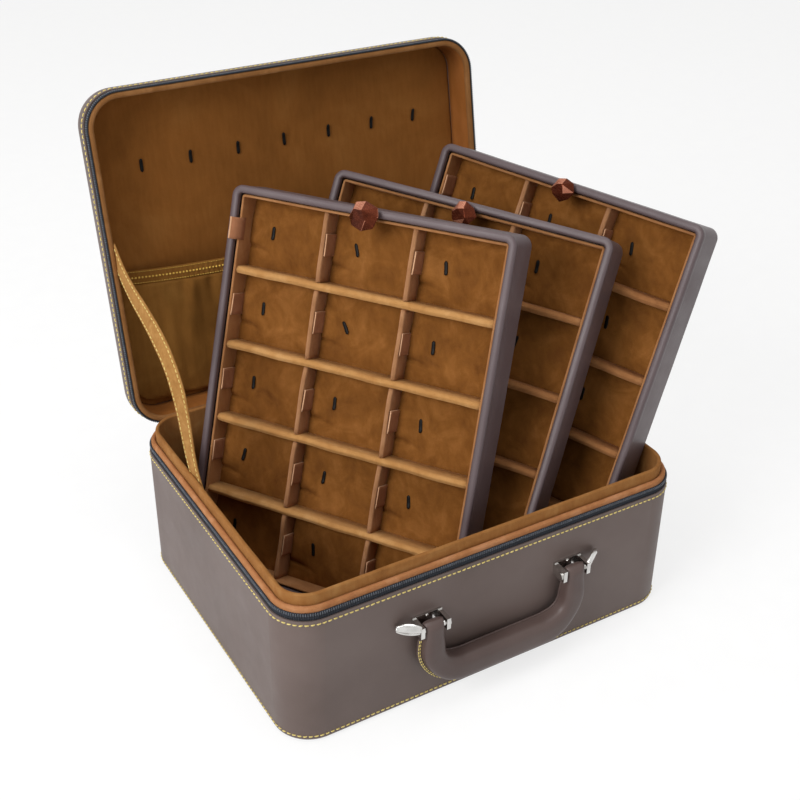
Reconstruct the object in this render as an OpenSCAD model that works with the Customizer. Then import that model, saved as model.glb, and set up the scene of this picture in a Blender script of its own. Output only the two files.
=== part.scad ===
// Zippered display case with a deep base, a shallow lid and three lift-out display trays.
// Millimetres. The origin is the centre of the underside, the front faces -Y and +Z is up.

/* [Case] */
// Width of the case across the front
case_w = 380; // [374:1:420]
// Depth of the case from front to back
case_d = 300; // [296:1:330]
// Radius of the upright corners
corner_r = 32; // [26:1:40]
// Height of the plane where base and lid meet
base_h = 131; // [126:1:150]
// Thickness of the leather-covered wall
wall = 6.5; // [5:0.5:8]
// Thickness of the outer bottom
bottom_t = 3; // [2:0.5:5]
// Thickness of the velvet floor board
floor_t = 2; // [1.5:0.5:4]
// Rounding of the bottom edge
edge_r = 4; // [2:0.5:5]
// Thickness of the inner collar board
collar_t = 3.5; // [2.5:0.5:4]
// Height of the collar above the meeting plane
collar_rise = 13.5; // [8:0.5:18]

/* [Lid] */
// Height of the lid
lid_h = 40; // [38:1:60]
// Depth of the hollow in the lid
lid_recess = 31; // [26:1:32]
// Rounding of the lid's outer edge
lid_edge_r = 22; // [18:1:24]
// Thickness of the lid's leather shell
lid_wall = 2; // [1.5:0.25:2.5]
// Thickness of the panel in the lid
panel_t = 3; // [2:0.5:4]
// Angle of the lid from closed, as it stands
lid_open = 100.3; // [95:0.1:104]

/* [Trim] */
// Height of the zip band on each half
zip_h = 7; // [5:0.5:9]
// Thickness of the woven zip tape
tape_t = 0.8; // [0.5:0.1:1.2]
// Width of the row of zip teeth
teeth_w = 2.6; // [2:0.1:3]
// Thickness of a rolled piping strip
piping_w = 4.3; // [3.5:0.1:4.5]
// Distance of the stitching from the zip band
stitch_off = 3.5; // [2:0.5:6]
// Height of the lower stitching above the ground
low_stitch_z = 5.5; // [5:0.5:9]
// Width of the stitching thread
thread_w = 0.9; // [0.6:0.1:1.2]
// How far the thread stands proud
thread_t = 0.35; // [0.2:0.05:0.5]
// Width of the leather hinge strip at the back
hinge_w = 244; // [180:2:244]
// Thickness of the hinge leather
hinge_t = 1.2; // [0.8:0.1:1.6]

/* [Lid fittings] */
// Number of necklace hooks
hook_count = 7; // [3:1:9]
// Distance between necklace hooks
hook_pitch = 46; // [30:1:48]
// Distance of the hooks from the lid's middle
hook_row = 79; // [60:1:100]
// Length of a slit hook
hook_l = 12; // [8:0.5:14]
// Width of a slit hook
hook_w = 3; // [1.6:0.1:4]
// Distance of the pocket's mouth from the lid's middle
pocket_y = 16; // [5:1:40]
// Distance that the pocket stands off the panel
pocket_off = 13; // [9:1:14]
// Number of folds in the pocket
pocket_folds = 22; // [12:1:24]
// Height of the stitched pocket band
band_h = 13; // [8:1:18]
// Width of the stay strap
strap_w = 16; // [12:1:20]
// Thickness of the stay strap
strap_t = 1.6; // [1:0.1:2]

/* [Handle] */
// Distance between the handle's two legs
handle_span = 138; // [120:1:150]
// Width of the padded grip
grip_w = 17; // [15:0.5:18]
// Depth of the padded grip
grip_t = 14; // [12:0.5:14.5]
// Radius of the grip's bends at their middle
grip_bend = 30; // [24:1:36]
// Height of the grip's middle above the ground
grip_z = 32.5; // [24:0.5:36]
// Height of the handle pins above the ground
pin_z = 85; // [78:1:90]
// Distance of the handle pins from the front
pin_out = 11; // [9.8:0.1:12]
// Radius of a handle pin
pin_r = 2.5; // [1.5:0.1:3]
// Running clearance round a pin
pin_gap = 0.08; // [0.03:0.01:0.1]
// Thickness of a bracket arm
arm_t = 3.6; // [2.5:0.1:4.5]
// Height of a bracket arm
arm_h = 10.5; // [9:0.5:14]
// Thickness of a bracket plate
plate_t = 2; // [1.5:0.1:2.2]
// Free space between a bracket arm and the grip
arm_gap = 1.6; // [0.8:0.1:2]
// Length of the leaf-shaped ear
ear_l = 21; // [18:1:26]
// Height of the leaf-shaped ear
ear_h = 11; // [9:0.5:14]
// Thickness of the leaf-shaped ear
ear_t = 1.8; // [1.2:0.1:2.4]

/* [Zip sliders] */
// Length of a slider body
slider_l = 11; // [9:0.5:13]
// Height of a slider body
slider_h = 7; // [6:0.5:7.5]
// Thickness of a slider body
slider_t = 3; // [2.5:0.1:3.5]
// Length of a pull tab
pull_l = 30; // [20:1:36]
// Width of a pull tab
pull_w = 8; // [6:0.5:9]
// Place of the parked sliders, from the middle
slider_x = 132; // [130:1:136]

/* [Trays] */
// Width of a tray
tray_w = 268; // [250:1:270]
// Length of a tray
tray_l = 348; // [330:1:350]
// Depth of a tray
tray_d = 37; // [34:0.5:38]
// Radius of a tray's corners
tray_r = 10; // [8:0.5:14]
// Width of the rolled rim
rim_w = 6.8; // [5:0.2:9]
// Thickness of a tray's leather wall
tray_wall = 4; // [3:0.5:5]
// Thickness of a tray's back board
tray_back = 3; // [2:0.5:4]
// Depth of the display cells
cell_d = 20; // [16:1:26]
// Thickness of the insert's side wall
insert_t = 2.4; // [1.6:0.2:2.8]
// Drop of the insert's edge below the rim
insert_drop = 5; // [1:0.5:7]
// Number of columns of cells
cols = 3; // [2:1:4]
// Number of rows of cells
rows = 5; // [3:1:6]
// Thickness of a row divider
row_t = 7.5; // [5:0.5:9]
// Thickness of a column divider
col_t = 5; // [4:0.5:7]
// Length of the folded tabs
tab_l = 19; // [12:1:22]
// Length of the ribbon knot
ribbon_l = 30; // [22:1:36]

/* [Hidden] */
$fn = 64;

// Colours of the covering materials
leather = "#5d4e4b";
velvet = "#a5602a";
velvet_light = "#b98050";
tape_black = "#1d1d1f";
thread_yellow = "#cdbb6a";
chrome = "#c9c9cc";
satin = "#8a4a32";

// A small clearance between pieces that only lie beside each other
seat = 0.3;
eps = 0.01;

// Heights in the base
leather_h = base_h - zip_h;
floor_z = bottom_t + floor_t;
collar_top = base_h + collar_rise;
inner_inset = wall + collar_t;
tape_inset = 1.2;
piping_inset = tape_inset + tape_t + 0.1;
upper_stitch_z = leather_h - stitch_off;

// The zip runs round the front and sides and ends beside the hinge strip
zip_gap = hinge_w + 6;

// The lid's hinge line, at the back of the meeting plane
hinge_y = case_d/2 + 0.5;
hinge_z = base_h;

// The parked sliders and the bar that each pull hangs from
slider_y = case_d/2 + hinge_t;
slider_z = leather_h + zip_h/2 - 1.5;
lug_r = 1.2;
pull_bore = lug_r + pin_gap;
pull_head = pull_bore + 0.8;
lug_y = slider_y + slider_t + pull_head + seat;
lug_z = slider_z - slider_h/2 + lug_r + 0.4;
lug_t = 1.2;
pull_t = 1.6;

// Levels of the lid, measured as if it were closed
lid_leather_z = base_h + zip_h;
lid_top = base_h + lid_h;
panel_z = base_h + lid_recess;
lid_bend_z = lid_top - lid_edge_r;
lid_lining_inset = 6;
lid_panel_inset = 8.4;
lid_piping_r = 2.4;
lid_ceiling = panel_z + panel_t;
lid_piping_x = tape_inset + tape_t + 0.05 + lid_piping_r;

// Half-width of the pocket, and its bottom edge near the lid's back wall
pocket_half = case_w/2 - lid_panel_inset - 4;
pocket_end = case_d/2 - lid_panel_inset - 5;
pocket_corner = corner_r - lid_panel_inset - 4;
pocket_sheet = 1.5;

// A point of the closed lid, as y and z, where the open lid carries it
function opened(y, z) = [
  hinge_y + (y - hinge_y)*cos(lid_open) + (z - hinge_z)*sin(lid_open),
  hinge_z - (y - hinge_y)*sin(lid_open) + (z - hinge_z)*cos(lid_open)
];

// Route of the stay strap's middle line, from the left wall, the hinge and the meeting plane
strap_steps = [
  [7.85, 37.5, 165], [7.85, 19.5, 149], [8, -2.5, 138],
  [8.4, -26.5, 130], [8.9, -50.5, 120], [9.4, -70.5, 107],
  [9.8, -84.5, 90], [10.2, -92.5, 70], [10.7, -96.5, 48], [11.1, -100.5, 27],
  [11.1, -108.5, 11], [11.1, -120.5, -1], [11.1, -136.5, -11]
];
strap_route = [for (p = strap_steps) [p[0] - case_w/2, p[1] + hinge_y, p[2] + hinge_z]];

// Each tray's turn, lean and roll, and the place of its top left front corner
tray_turn = [-59.7, -58.8, -68.0];
tray_lean = [21.3, 28.3, 23.2];
tray_roll = [2.2, -2.3, -2.6];
tray_x = [-76.8, 24.1, 127.1];
tray_y = [165.4, 165.0, 147.6];

// Heights of a tray's edges along the upright, from its lean and roll
function across_z(i) = sin(tray_roll[i])*cos(tray_lean[i]);
function along_z(i) = cos(tray_roll[i])*cos(tray_lean[i]);
function out_z(i) = sin(tray_lean[i]);
// The corner that stands lowest sets the height of the tray above the floor board
function low_corner_x(i) = across_z(i) > 0 ? tray_r : tray_w - tray_r;
function tray_z(i) = floor_z + seat + (tray_l - tray_r)*along_z(i)
  + tray_r*sqrt(pow(across_z(i), 2) + pow(along_z(i), 2))
  + tray_d*out_z(i) - low_corner_x(i)*across_z(i);

// The handle's pins and the bracket arms round them
pin_y = -case_d/2 - pin_out;
arm_end_y = pin_y - pin_r - 2;
arm_top = pin_z + arm_h/2 + 1;
arm_outer = grip_w/2 + arm_gap + arm_t;
leg_x = handle_span/2;
leg_top = pin_z - 2;
eye_r = grip_t/2 - 0.4;
stitch_lines = [0.5, 4];

// Levels and sizes inside a tray; its rim's front is at zero
insert_gap = 0.8;
insert_w = tray_w - 2*(rim_w + insert_gap);
insert_l = tray_l - 2*(rim_w + insert_gap);
insert_r = 3;
cell_floor = -insert_drop - cell_d;
wall_inset = 0.6;
mitre_gap = 0.1;
insert_under = -tray_d + tray_back + seat;
clear_w = insert_w - 2*insert_t;
clear_l = insert_l - 2*insert_t;
row_pitch = (clear_l + row_t)/rows;
col_pitch = (clear_w + col_t)/cols;
cell_w = col_pitch - col_t;
cell_l = row_pitch - row_t;
divider_drop = insert_drop + 0.4;
column_drop = divider_drop + 0.6;

// Left edge and top edge of a cell in the tray's own frame
function cell_x(c) = rim_w + insert_gap + insert_t + c*col_pitch;
function cell_y(r) = -(rim_w + insert_gap + insert_t) - r*row_pitch;

// How far each hook stands off straight, column by column
hook_tilts = [1, 4, 5, -6, 4, 21, 33, 3, -2, 13, 10, 5, 8, 10, 6];
function hook_tilt(n) = hook_tilts[n % len(hook_tilts)];

// Frames

module open_lid() {
  translate([0, hinge_y, hinge_z])
    rotate([-lid_open, 0, 0])
      translate([0, -hinge_y, -hinge_z])
        children();
}

module place_tray(i) {
  translate([tray_x[i], tray_y[i], tray_z(i)])
    rotate([0, 0, tray_turn[i]])
      rotate([90 - tray_lean[i], 0, 0])
        rotate([0, 0, tray_roll[i]])
          children();
}

// Shapes that repeat

module rounded(w, d, r) {
  square([w - 2*r, d], center = true);
  square([w, d - 2*r], center = true);
  for (sx = [-1, 1])
    for (sy = [-1, 1])
      translate([sx*(w/2 - r), sy*(d/2 - r)])
        circle(r);
}

module slab(w, d, r, z0, z1) {
  translate([0, 0, z0])
    linear_extrude(z1 - z0)
      rounded(w, d, r);
}

// One straight side of a swept rim; a gap in its middle leaves two stretches
module rim_side(half, len, gap) {
  run = (len - gap)/2;
  if (gap <= 0)
    translate([half, len/2, 0])
      rotate([90, 0, 0])
        linear_extrude(len)
          mirror([1, 0])
            children();
  if (gap > 0)
    for (start = [len/2, -gap/2])
      translate([half, start, 0])
        rotate([90, 0, 0])
          linear_extrude(run)
            mirror([1, 0])
              children();
}

// Sweeps a section round a rounded rectangle. The section's x is the inset from the outline.
module rim(w, d, r, back_gap = 0) {
  rim_side(w/2, d - 2*r, 0) children();
  rotate([0, 0, 180])
    rim_side(w/2, d - 2*r, 0) children();
  rotate([0, 0, 90])
    rim_side(d/2, w - 2*r, back_gap) children();
  rotate([0, 0, 270])
    rim_side(d/2, w - 2*r, 0) children();
  for (k = [0:3])
    translate([(k == 0 || k == 3 ? 1 : -1)*(w/2 - r), (k < 2 ? 1 : -1)*(d/2 - r), 0])
      rotate([0, 0, 90*k])
        rotate_extrude(angle = 90)
          translate([r, 0])
            mirror([1, 0])
              children();
}

module case_rim(back_gap = 0) {
  rim(case_w, case_d, corner_r, back_gap) children();
}

// A rectangle given by its low and high corners
module patch(x0, y0, x1, y1) {
  translate([x0, y0])
    square([x1 - x0, y1 - y0]);
}

// A bar whose top edge is rounded over its full thickness, along X
module soft_bar(len, t, low, high) {
  translate([0, 0, low])
    translate([0, -t/2, 0])
      cube([len, t, high - t/2 - low]);
  translate([0, 0, high - t/2])
    rotate([0, 90, 0])
      cylinder(h = len, r = t/2);
}

// Base

module base_shell() {
  color(leather) {
    case_rim()
      difference() {
        square([wall, leather_h]);
        difference() {
          translate([-eps, -eps])
            square(edge_r + eps);
          translate([edge_r, edge_r])
            circle(edge_r);
        }
      }
    slab(case_w - 2*edge_r, case_d - 2*edge_r, corner_r - edge_r, 0, bottom_t);
  }
}

module base_floor() {
  color(velvet)
    slab(case_w - 2*inner_inset, case_d - 2*inner_inset, corner_r - inner_inset, bottom_t, floor_z);
}

module base_collar() {
  color(velvet)
    case_rim() {
      patch(wall, bottom_t, inner_inset, collar_top - collar_t/2);
      translate([wall + collar_t/2, collar_top - collar_t/2])
        circle(collar_t/2);
    }
}

module base_piping() {
  color(velvet_light)
    case_rim() {
      patch(piping_inset, leather_h, piping_inset + piping_w, base_h + piping_w/2);
      translate([piping_inset + piping_w/2, base_h + piping_w/2])
        circle(piping_w/2);
    }
}

module base_zip_tape() {
  color(tape_black)
    case_rim(zip_gap)
      patch(tape_inset, leather_h, tape_inset + tape_t, base_h);
}

module base_zip_teeth() {
  color("#26262a")
    case_rim(zip_gap)
      patch(0.1, base_h - teeth_w, tape_inset, base_h);
}

module thread(z) {
  color(thread_yellow)
    case_rim()
      patch(-thread_t, z - thread_w/2, 0, z + thread_w/2);
}

module base_stitch_upper() {
  thread(upper_stitch_z);
}

module base_stitch_lower() {
  thread(low_stitch_z);
}

// A leather strip that follows the back wall, bends, and follows the open lid
module hinge_strip() {
  back = case_d/2;
  leg = 20;
  clear = 0.1;
  color(leather)
    translate([-hinge_w/2, 0, 0])
      rotate([90, 0, 90])
        linear_extrude(hinge_w)
          polygon([
            [back + thread_t + clear, upper_stitch_z - leg],
            [back + thread_t + clear + hinge_t, upper_stitch_z - leg],
            [back + thread_t + clear + hinge_t, base_h - 2.5],
            opened(back + clear + hinge_t, base_h + 2),
            opened(back + clear + hinge_t, lid_leather_z + leg),
            opened(back + clear, lid_leather_z + leg),
            opened(back + clear, base_h + 1.5),
            [back + thread_t + clear, base_h - 1.5]
          ]);
}

// Zip sliders and pulls

module slider(side) {
  x = side*slider_x;
  color(chrome) {
    translate([x - slider_l/2, case_d/2 + 0.15, slider_z - slider_h/2])
      cube([slider_l, slider_y + slider_t - case_d/2 - 0.15, slider_h]);
    for (s = [-1, 1])
      translate([x + s*(slider_l - lug_t)/2 - lug_t/2, slider_y + slider_t - eps, lug_z - lug_r])
        cube([lug_t, lug_y - slider_y - slider_t + lug_r, 2*lug_r]);
    translate([x - slider_l/2 + eps, lug_y, lug_z])
      rotate([0, 90, 0])
        cylinder(h = slider_l - 2*eps, r = lug_r);
  }
}

module slider_left() {
  slider(-1);
}

module slider_right() {
  slider(1);
}

// A flat tab that hangs from the slider's bar
module pull(side) {
  x = side*slider_x;
  color(chrome)
    difference() {
      union() {
        translate([x - pull_w/2, lug_y, lug_z])
          rotate([0, 90, 0])
            cylinder(h = pull_w, r = pull_head);
        translate([x - pull_w/2, lug_y - pull_t/2, lug_z - pull_l + pull_w/2])
          cube([pull_w, pull_t, pull_l - pull_w/2]);
        translate([x, lug_y + pull_t/2, lug_z - pull_l + pull_w/2])
          rotate([90, 0, 0])
            cylinder(h = pull_t, r = pull_w/2);
      }
      translate([x - pull_w/2 - 1, lug_y, lug_z])
        rotate([0, 90, 0])
          cylinder(h = pull_w + 2, r = pull_bore);
    }
}

module pull_left() {
  pull(-1);
}

module pull_right() {
  pull(1);
}

// Lid, drawn closed and then opened

// The region inside the lid's outer surface, at a distance from it
module lid_region(t, top) {
  intersection() {
    union() {
      patch(t, base_h, lid_edge_r, lid_bend_z);
      intersection() {
        translate([lid_edge_r, lid_bend_z])
          circle(lid_edge_r - t);
        patch(0, lid_bend_z - eps, lid_edge_r, lid_top);
      }
    }
    patch(0, base_h, lid_edge_r, top);
  }
}

// A board across the lid, from one level to another, that overlaps the ring round it
module lid_board(z0, z1) {
  slab(case_w - 2*lid_edge_r + 2, case_d - 2*lid_edge_r + 2, corner_r - lid_edge_r + 1, z0, z1);
}

module lid_shell() {
  color(leather)
    open_lid() {
      case_rim()
        difference() {
          intersection() {
            lid_region(0, lid_top);
            patch(0, lid_leather_z, lid_edge_r, lid_top);
          }
          lid_region(lid_wall, lid_ceiling);
        }
      lid_board(lid_ceiling, lid_top);
    }
}

module lid_wall_lining() {
  start = base_h + 2*lid_piping_r + 0.1;
  color(velvet)
    open_lid()
      case_rim()
        intersection() {
          lid_region(lid_wall + 0.05, panel_z);
          polygon([
            [0, start], [lid_lining_inset, start], [lid_lining_inset, lid_bend_z + 2],
            [lid_lining_inset + 0.6, panel_z - 6], [lid_panel_inset, panel_z], [0, panel_z]
          ]);
        }
}

module lid_panel() {
  color(velvet)
    open_lid() {
      case_rim()
        intersection() {
          lid_region(lid_wall + 0.05, lid_ceiling);
          patch(lid_panel_inset, panel_z, lid_edge_r, lid_ceiling);
        }
      lid_board(panel_z, lid_ceiling);
    }
}

module lid_piping() {
  color(velvet_light)
    open_lid()
      case_rim()
        translate([lid_piping_x, base_h + lid_piping_r])
          circle(lid_piping_r);
}

module lid_zip_tape() {
  color(tape_black)
    open_lid()
      case_rim(zip_gap)
        patch(tape_inset, base_h, tape_inset + tape_t, lid_leather_z);
}

module lid_zip_teeth() {
  color("#26262a")
    open_lid()
      case_rim(zip_gap)
        patch(0.1, base_h, tape_inset, base_h + teeth_w);
}

module lid_stitching() {
  color(thread_yellow)
    open_lid()
      case_rim(hinge_w + 8)
        patch(-thread_t, lid_leather_z + stitch_off - thread_w/2, 0, lid_leather_z + stitch_off + thread_w/2);
}

// A slit hook: a flat strip on a short foot, with its tip turned out
module slit_hook(l, w) {
  translate([-w/2, -l/2, 0])
    cube([w, l, 1.1]);
  translate([-w/2, -l/2, 0])
    cube([w, 1.4, 2.6]);
}

module lid_hooks() {
  color("#16130f")
    open_lid()
      for (k = [0:hook_count - 1])
        translate([(k - (hook_count - 1)/2)*hook_pitch, -hook_row, panel_z])
          rotate([0, 0, hook_tilt(k)/4])
            mirror([0, 0, 1])
              slit_hook(hook_l, hook_w);
}

// How far the pocket's cloth stands off the panel, across from -1 to 1 and down from 0 to 1
function pocket_lift(s, t) =
  pocket_off*pow(max(0, 1 - pow(abs(s), 3)), 0.8)*(1 - 0.72*pow(t, 1.6))
  + 1.5*(1 - pow(abs(s), 6))*sin(t*180)*cos(s*180*pocket_folds/2)*(1 - 0.4*t) + 0.1;

// Half-width of the pocket at a depth, with its lower corners rounded like the lid's
function pocket_reach(y) = pocket_half - pocket_corner
  + sqrt(max(0, pow(pocket_corner, 2) - pow(max(0, y - pocket_end + pocket_corner), 2)));

module lid_pocket() {
  nx = 66;
  ny = 6;
  top = pocket_y + band_h;
  function down(j) = top + (pocket_end - top)*j/ny;
  function spot(i, j, out) = [
    (2*i/nx - 1)*pocket_reach(down(j)),
    down(j),
    panel_z - pocket_lift(2*i/nx - 1, j/ny) - out
  ];
  per = nx + 1;
  half = per*(ny + 1);
  points = [
    for (out = [0, pocket_sheet])
      for (j = [0:ny])
        for (i = [0:nx])
          spot(i, j, out)
  ];
  function quad(a, b, c, d) = [[a, b, c], [a, c, d]];
  inner = [for (j = [0:ny - 1]) for (i = [0:nx - 1])
    each quad(j*per + i, (j + 1)*per + i, (j + 1)*per + i + 1, j*per + i + 1)];
  outer = [for (j = [0:ny - 1]) for (i = [0:nx - 1])
    each quad(half + j*per + i, half + j*per + i + 1, half + (j + 1)*per + i + 1, half + (j + 1)*per + i)];
  mouth = [for (i = [0:nx - 1]) each quad(i, i + 1, half + i + 1, half + i)];
  hem = [for (i = [0:nx - 1])
    each quad(ny*per + i, half + ny*per + i, half + ny*per + i + 1, ny*per + i + 1)];
  low = [for (j = [0:ny - 1]) each quad(j*per, half + j*per, half + (j + 1)*per, (j + 1)*per)];
  high = [for (j = [0:ny - 1])
    each quad(j*per + nx, (j + 1)*per + nx, half + (j + 1)*per + nx, half + j*per + nx)];
  color(velvet)
    open_lid()
      polyhedron(points, concat(inner, outer, mouth, hem, low, high), convexity = 6);
}

// The flat elastic band along the pocket's mouth
module pocket_band() {
  n = 24;
  function lift(k) = panel_z - pocket_lift(2*k/n - 1, 0);
  function bx(k) = (2*k/n - 1)*pocket_half;
  color(velvet_light)
    open_lid()
      translate([0, pocket_y + band_h - 0.05, 0])
        rotate([90, 0, 0])
          linear_extrude(band_h)
            polygon(concat(
              [for (k = [0:n]) [bx(k), lift(k)]],
              [for (k = [n:-1:0]) [bx(k), lift(k) - pocket_sheet - 0.5]]
            ));
}

// A flat band along the strap's route, its width across the route in the upright plane
module stay_strap() {
  n = len(strap_route);
  function ahead(i) = strap_route[min(i + 1, n - 1)] - strap_route[max(i - 1, 0)];
  function across(i) = [0, -ahead(i)[2], ahead(i)[1]]/norm([0, ahead(i)[2], ahead(i)[1]]);
  points = [
    for (i = [0:n - 1])
      for (c = [[-1, -1], [-1, 1], [1, 1], [1, -1]])
        strap_route[i] + c[0]*[strap_t/2, 0, 0] + c[1]*across(i)*strap_w/2
  ];
  sides = [
    for (i = [0:n - 2])
      for (k = [0:3])
        each [[4*i + k, 4*i + (k + 1)%4, 4*i + 4 + (k + 1)%4], [4*i + k, 4*i + 4 + (k + 1)%4, 4*i + 4 + k]]
  ];
  last = 4*(n - 1);
  caps = [[2, 1, 0], [3, 2, 0], [last, last + 1, last + 2], [last, last + 2, last + 3]];
  color(velvet_light)
    polyhedron(points, concat(sides, caps), convexity = 4);
}

// Handle

// Section of the grip: nearly flat at the back and well rounded at the front
module grip_section() {
  back_r = 2;
  front_r = 6;
  half = grip_w/2;
  rear = grip_t/2;
  patch(-half, front_r - rear, half, rear - back_r);
  patch(back_r - half, rear - back_r, half - back_r, rear);
  patch(front_r - half, -rear, half - front_r, front_r - rear);
  for (s = [-1, 1]) {
    translate([s*(half - back_r), rear - back_r])
      circle(back_r);
    translate([s*(half - front_r), front_r - rear])
      circle(front_r);
  }
}

// A straight leg that ends in an eye round the pin
module grip_leg(side) {
  low = grip_z + grip_bend;
  translate([side*leg_x, pin_y, low])
    linear_extrude(leg_top - low)
      grip_section();
  translate([side*leg_x - grip_w/2, pin_y, pin_z])
    rotate([0, 90, 0])
      cylinder(h = grip_w, r = eye_r);
}

module handle_grip() {
  bore = pin_r + pin_gap;
  bar = handle_span - 2*grip_bend;
  color(leather)
    difference() {
      union() {
        grip_leg(-1);
        grip_leg(1);
        for (side = [0, 1])
          mirror([side, 0, 0])
            translate([leg_x - grip_bend, pin_y, grip_z + grip_bend])
              rotate([90, 0, 0])
                rotate([0, 0, -90])
                  rotate_extrude(angle = 90)
                    translate([grip_bend, 0])
                      mirror([0, 1])
                        grip_section();
        translate([-bar/2, pin_y, grip_z])
          rotate([0, 90, 0])
            linear_extrude(bar)
              grip_section();
      }
      for (side = [-1, 1])
        translate([side*leg_x - grip_w, pin_y, pin_z])
          rotate([0, 90, 0])
            cylinder(h = 2*grip_w, r = bore);
    }
}

// Two rows of thread on the outer side of each leg
module handle_stitching() {
  low = grip_z + grip_bend;
  color(thread_yellow)
    for (side = [-1, 1])
      for (y = stitch_lines)
        translate([side*(leg_x + grip_w/2 + thread_t/2) - thread_t/2, pin_y + y - thread_w/2, low])
          cube([thread_t, thread_w, leg_top - low - grip_t/2]);
}

// A plate on the case with two arms that hold the handle's pin
module bracket(side) {
  plate_y = -case_d/2 - plate_t;
  color(chrome)
    translate([side*leg_x, 0, 0])
      mirror([side < 0 ? 1 : 0, 0, 0])
        difference() {
          union() {
            translate([-arm_outer, plate_y, arm_top - arm_h])
              cube([2*arm_outer, plate_t, arm_h + 1]);
            for (s = [-1, 1])
              translate([s*(arm_outer - arm_t/2) - arm_t/2, arm_end_y, arm_top - arm_h])
                cube([arm_t, plate_y - arm_end_y + eps, arm_h]);
            ear(plate_y);
          }
          translate([-arm_outer - 1, pin_y, pin_z])
            rotate([0, 90, 0])
              cylinder(h = 2*arm_outer + 1, r = pin_r);
        }
}

// A leaf with a blunt tip that leaves the outer arm's end and slopes back to the case
module ear(tip_y) {
  long = 1.4*ear_l;
  curve = (pow(long, 2) + pow(ear_h, 2))/(4*ear_h);
  root_y = arm_end_y + 1.5;
  tuck = 2;
  translate([arm_outer - tuck, root_y, arm_top - 2.5])
    rotate([0, 0, asin((tip_y - root_y)/ear_l)])
      rotate([90, 0, 0])
        translate([0, 0, -ear_t/2])
          linear_extrude(ear_t)
            intersection() {
              translate([ear_l/2, curve - ear_h/2])
                circle(curve);
              translate([ear_l/2, ear_h/2 - curve])
                circle(curve);
              translate([ear_l/2, 0])
                circle(ear_l/2);
            }
}

module bracket_left() {
  bracket(-1);
}

module bracket_right() {
  bracket(1);
}

// A cross pin held in both arms, with a low head at its inner end
module handle_pin(side) {
  head = 1.2;
  color(chrome)
    translate([side*leg_x, pin_y, pin_z])
      rotate([0, -90*side, 0])
        translate([0, 0, -arm_outer]) {
          cylinder(h = 2*arm_outer, r = pin_r);
          translate([0, 0, 2*arm_outer])
            cylinder(h = head, r = pin_r + 1);
        }
}

module pin_left() {
  handle_pin(-1);
}

module pin_right() {
  handle_pin(1);
}

module bracket_screws() {
  color(chrome)
    for (side = [-1, 1])
      translate([side*leg_x, -case_d/2 - plate_t, arm_top - 1.6])
        rotate([90, 0, 0])
          cylinder(h = 0.8, r = 1.6);
}

// Trays

// The thin diagonal cuts that part a tray's four walls at its corners
module mitre_cuts() {
  for (k = [0:3])
    translate([(k == 0 || k == 3 ? 1 : -1)*(tray_w/2 - tray_r), (k < 2 ? 1 : -1)*(tray_l/2 - tray_r), 0])
      rotate([0, 0, 45 + 90*k])
        translate([0, -mitre_gap/2, -tray_d - tray_wall])
          cube([2*tray_r, mitre_gap, tray_d + 2*tray_wall]);
}

// Four mitred walls, each a rolled rim on a board, with the back board set between them
module tray_frame(i) {
  board_inset = wall_inset + tray_wall + mitre_gap;
  color(leather)
    place_tray(i)
      translate([tray_w/2, -tray_l/2, 0]) {
        difference() {
          rim(tray_w, tray_l, tray_r) {
            translate([rim_w/2, -rim_w/2])
              circle(rim_w/2);
            patch(wall_inset, -tray_d, wall_inset + tray_wall, -rim_w/2);
          }
          mitre_cuts();
        }
        slab(
          tray_w - 2*board_inset, tray_l - 2*board_inset, tray_r - board_inset,
          -tray_d, -tray_d + tray_back
        );
      }
}

module tray_lining(i) {
  color(velvet)
    place_tray(i)
      translate([tray_w/2, -tray_l/2, 0])
        rim(insert_w, insert_l, insert_r) {
          patch(0, insert_under, insert_t, -insert_drop - insert_t/2);
          translate([insert_t/2, -insert_drop - insert_t/2])
            circle(insert_t/2);
        }
}

module tray_floor(i) {
  color(velvet)
    place_tray(i)
      translate([tray_w/2, -tray_l/2, 0])
        slab(clear_w, clear_l, insert_r - insert_t, insert_under, cell_floor);
}

module tray_rows(i) {
  color(velvet_light)
    place_tray(i)
      for (r = [1:rows - 1])
        translate([cell_x(0) + eps, cell_y(r) + row_t/2, 0])
          soft_bar(clear_w - 2*eps, row_t, cell_floor, -divider_drop);
}

module tray_columns(i) {
  color(velvet)
    place_tray(i)
      for (c = [1:cols - 1])
        for (r = [0:rows - 1])
          translate([cell_x(c) - col_t/2, cell_y(r) - cell_l + eps, 0])
            rotate([0, 0, 90])
              soft_bar(cell_l - 2*eps, col_t, cell_floor, -column_drop);
}

module tray_hooks(i) {
  color("#16130f")
    place_tray(i)
      for (c = [0:cols - 1])
        for (r = [0:rows - 1])
          translate([cell_x(c) + 0.29*cell_w, cell_y(r) - 0.47*cell_l, cell_floor])
            rotate([0, 0, hook_tilt(c*rows + r + 7*i)])
              slit_hook(hook_l, hook_w);
}

module tray_tabs(i) {
  color(velvet_light)
    place_tray(i)
      for (c = [0:cols - 1])
        for (r = [0:rows - 1])
          translate([cell_x(c) + eps, cell_y(r) - 0.47*cell_l - tab_l/2, cell_floor])
            cube([2.4, tab_l, cell_d - 3]);
}

// A satin knot over the middle of the top rim, as one closed solid
module tray_ribbon(i) {
  knot = 5.5;
  color(satin)
    place_tray(i)
      translate([tray_w/2, -rim_w/2, knot - 1 + seat/2]) {
        cylinder(h = 2*knot - 2, r = knot, center = true);
        for (s = [-1, 1])
          translate([s*ribbon_l/4, 0, 0])
            rotate([0, 0, s*20])
              cube([ribbon_l/2, 2*knot - 1, knot], center = true);
      }
}

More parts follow.
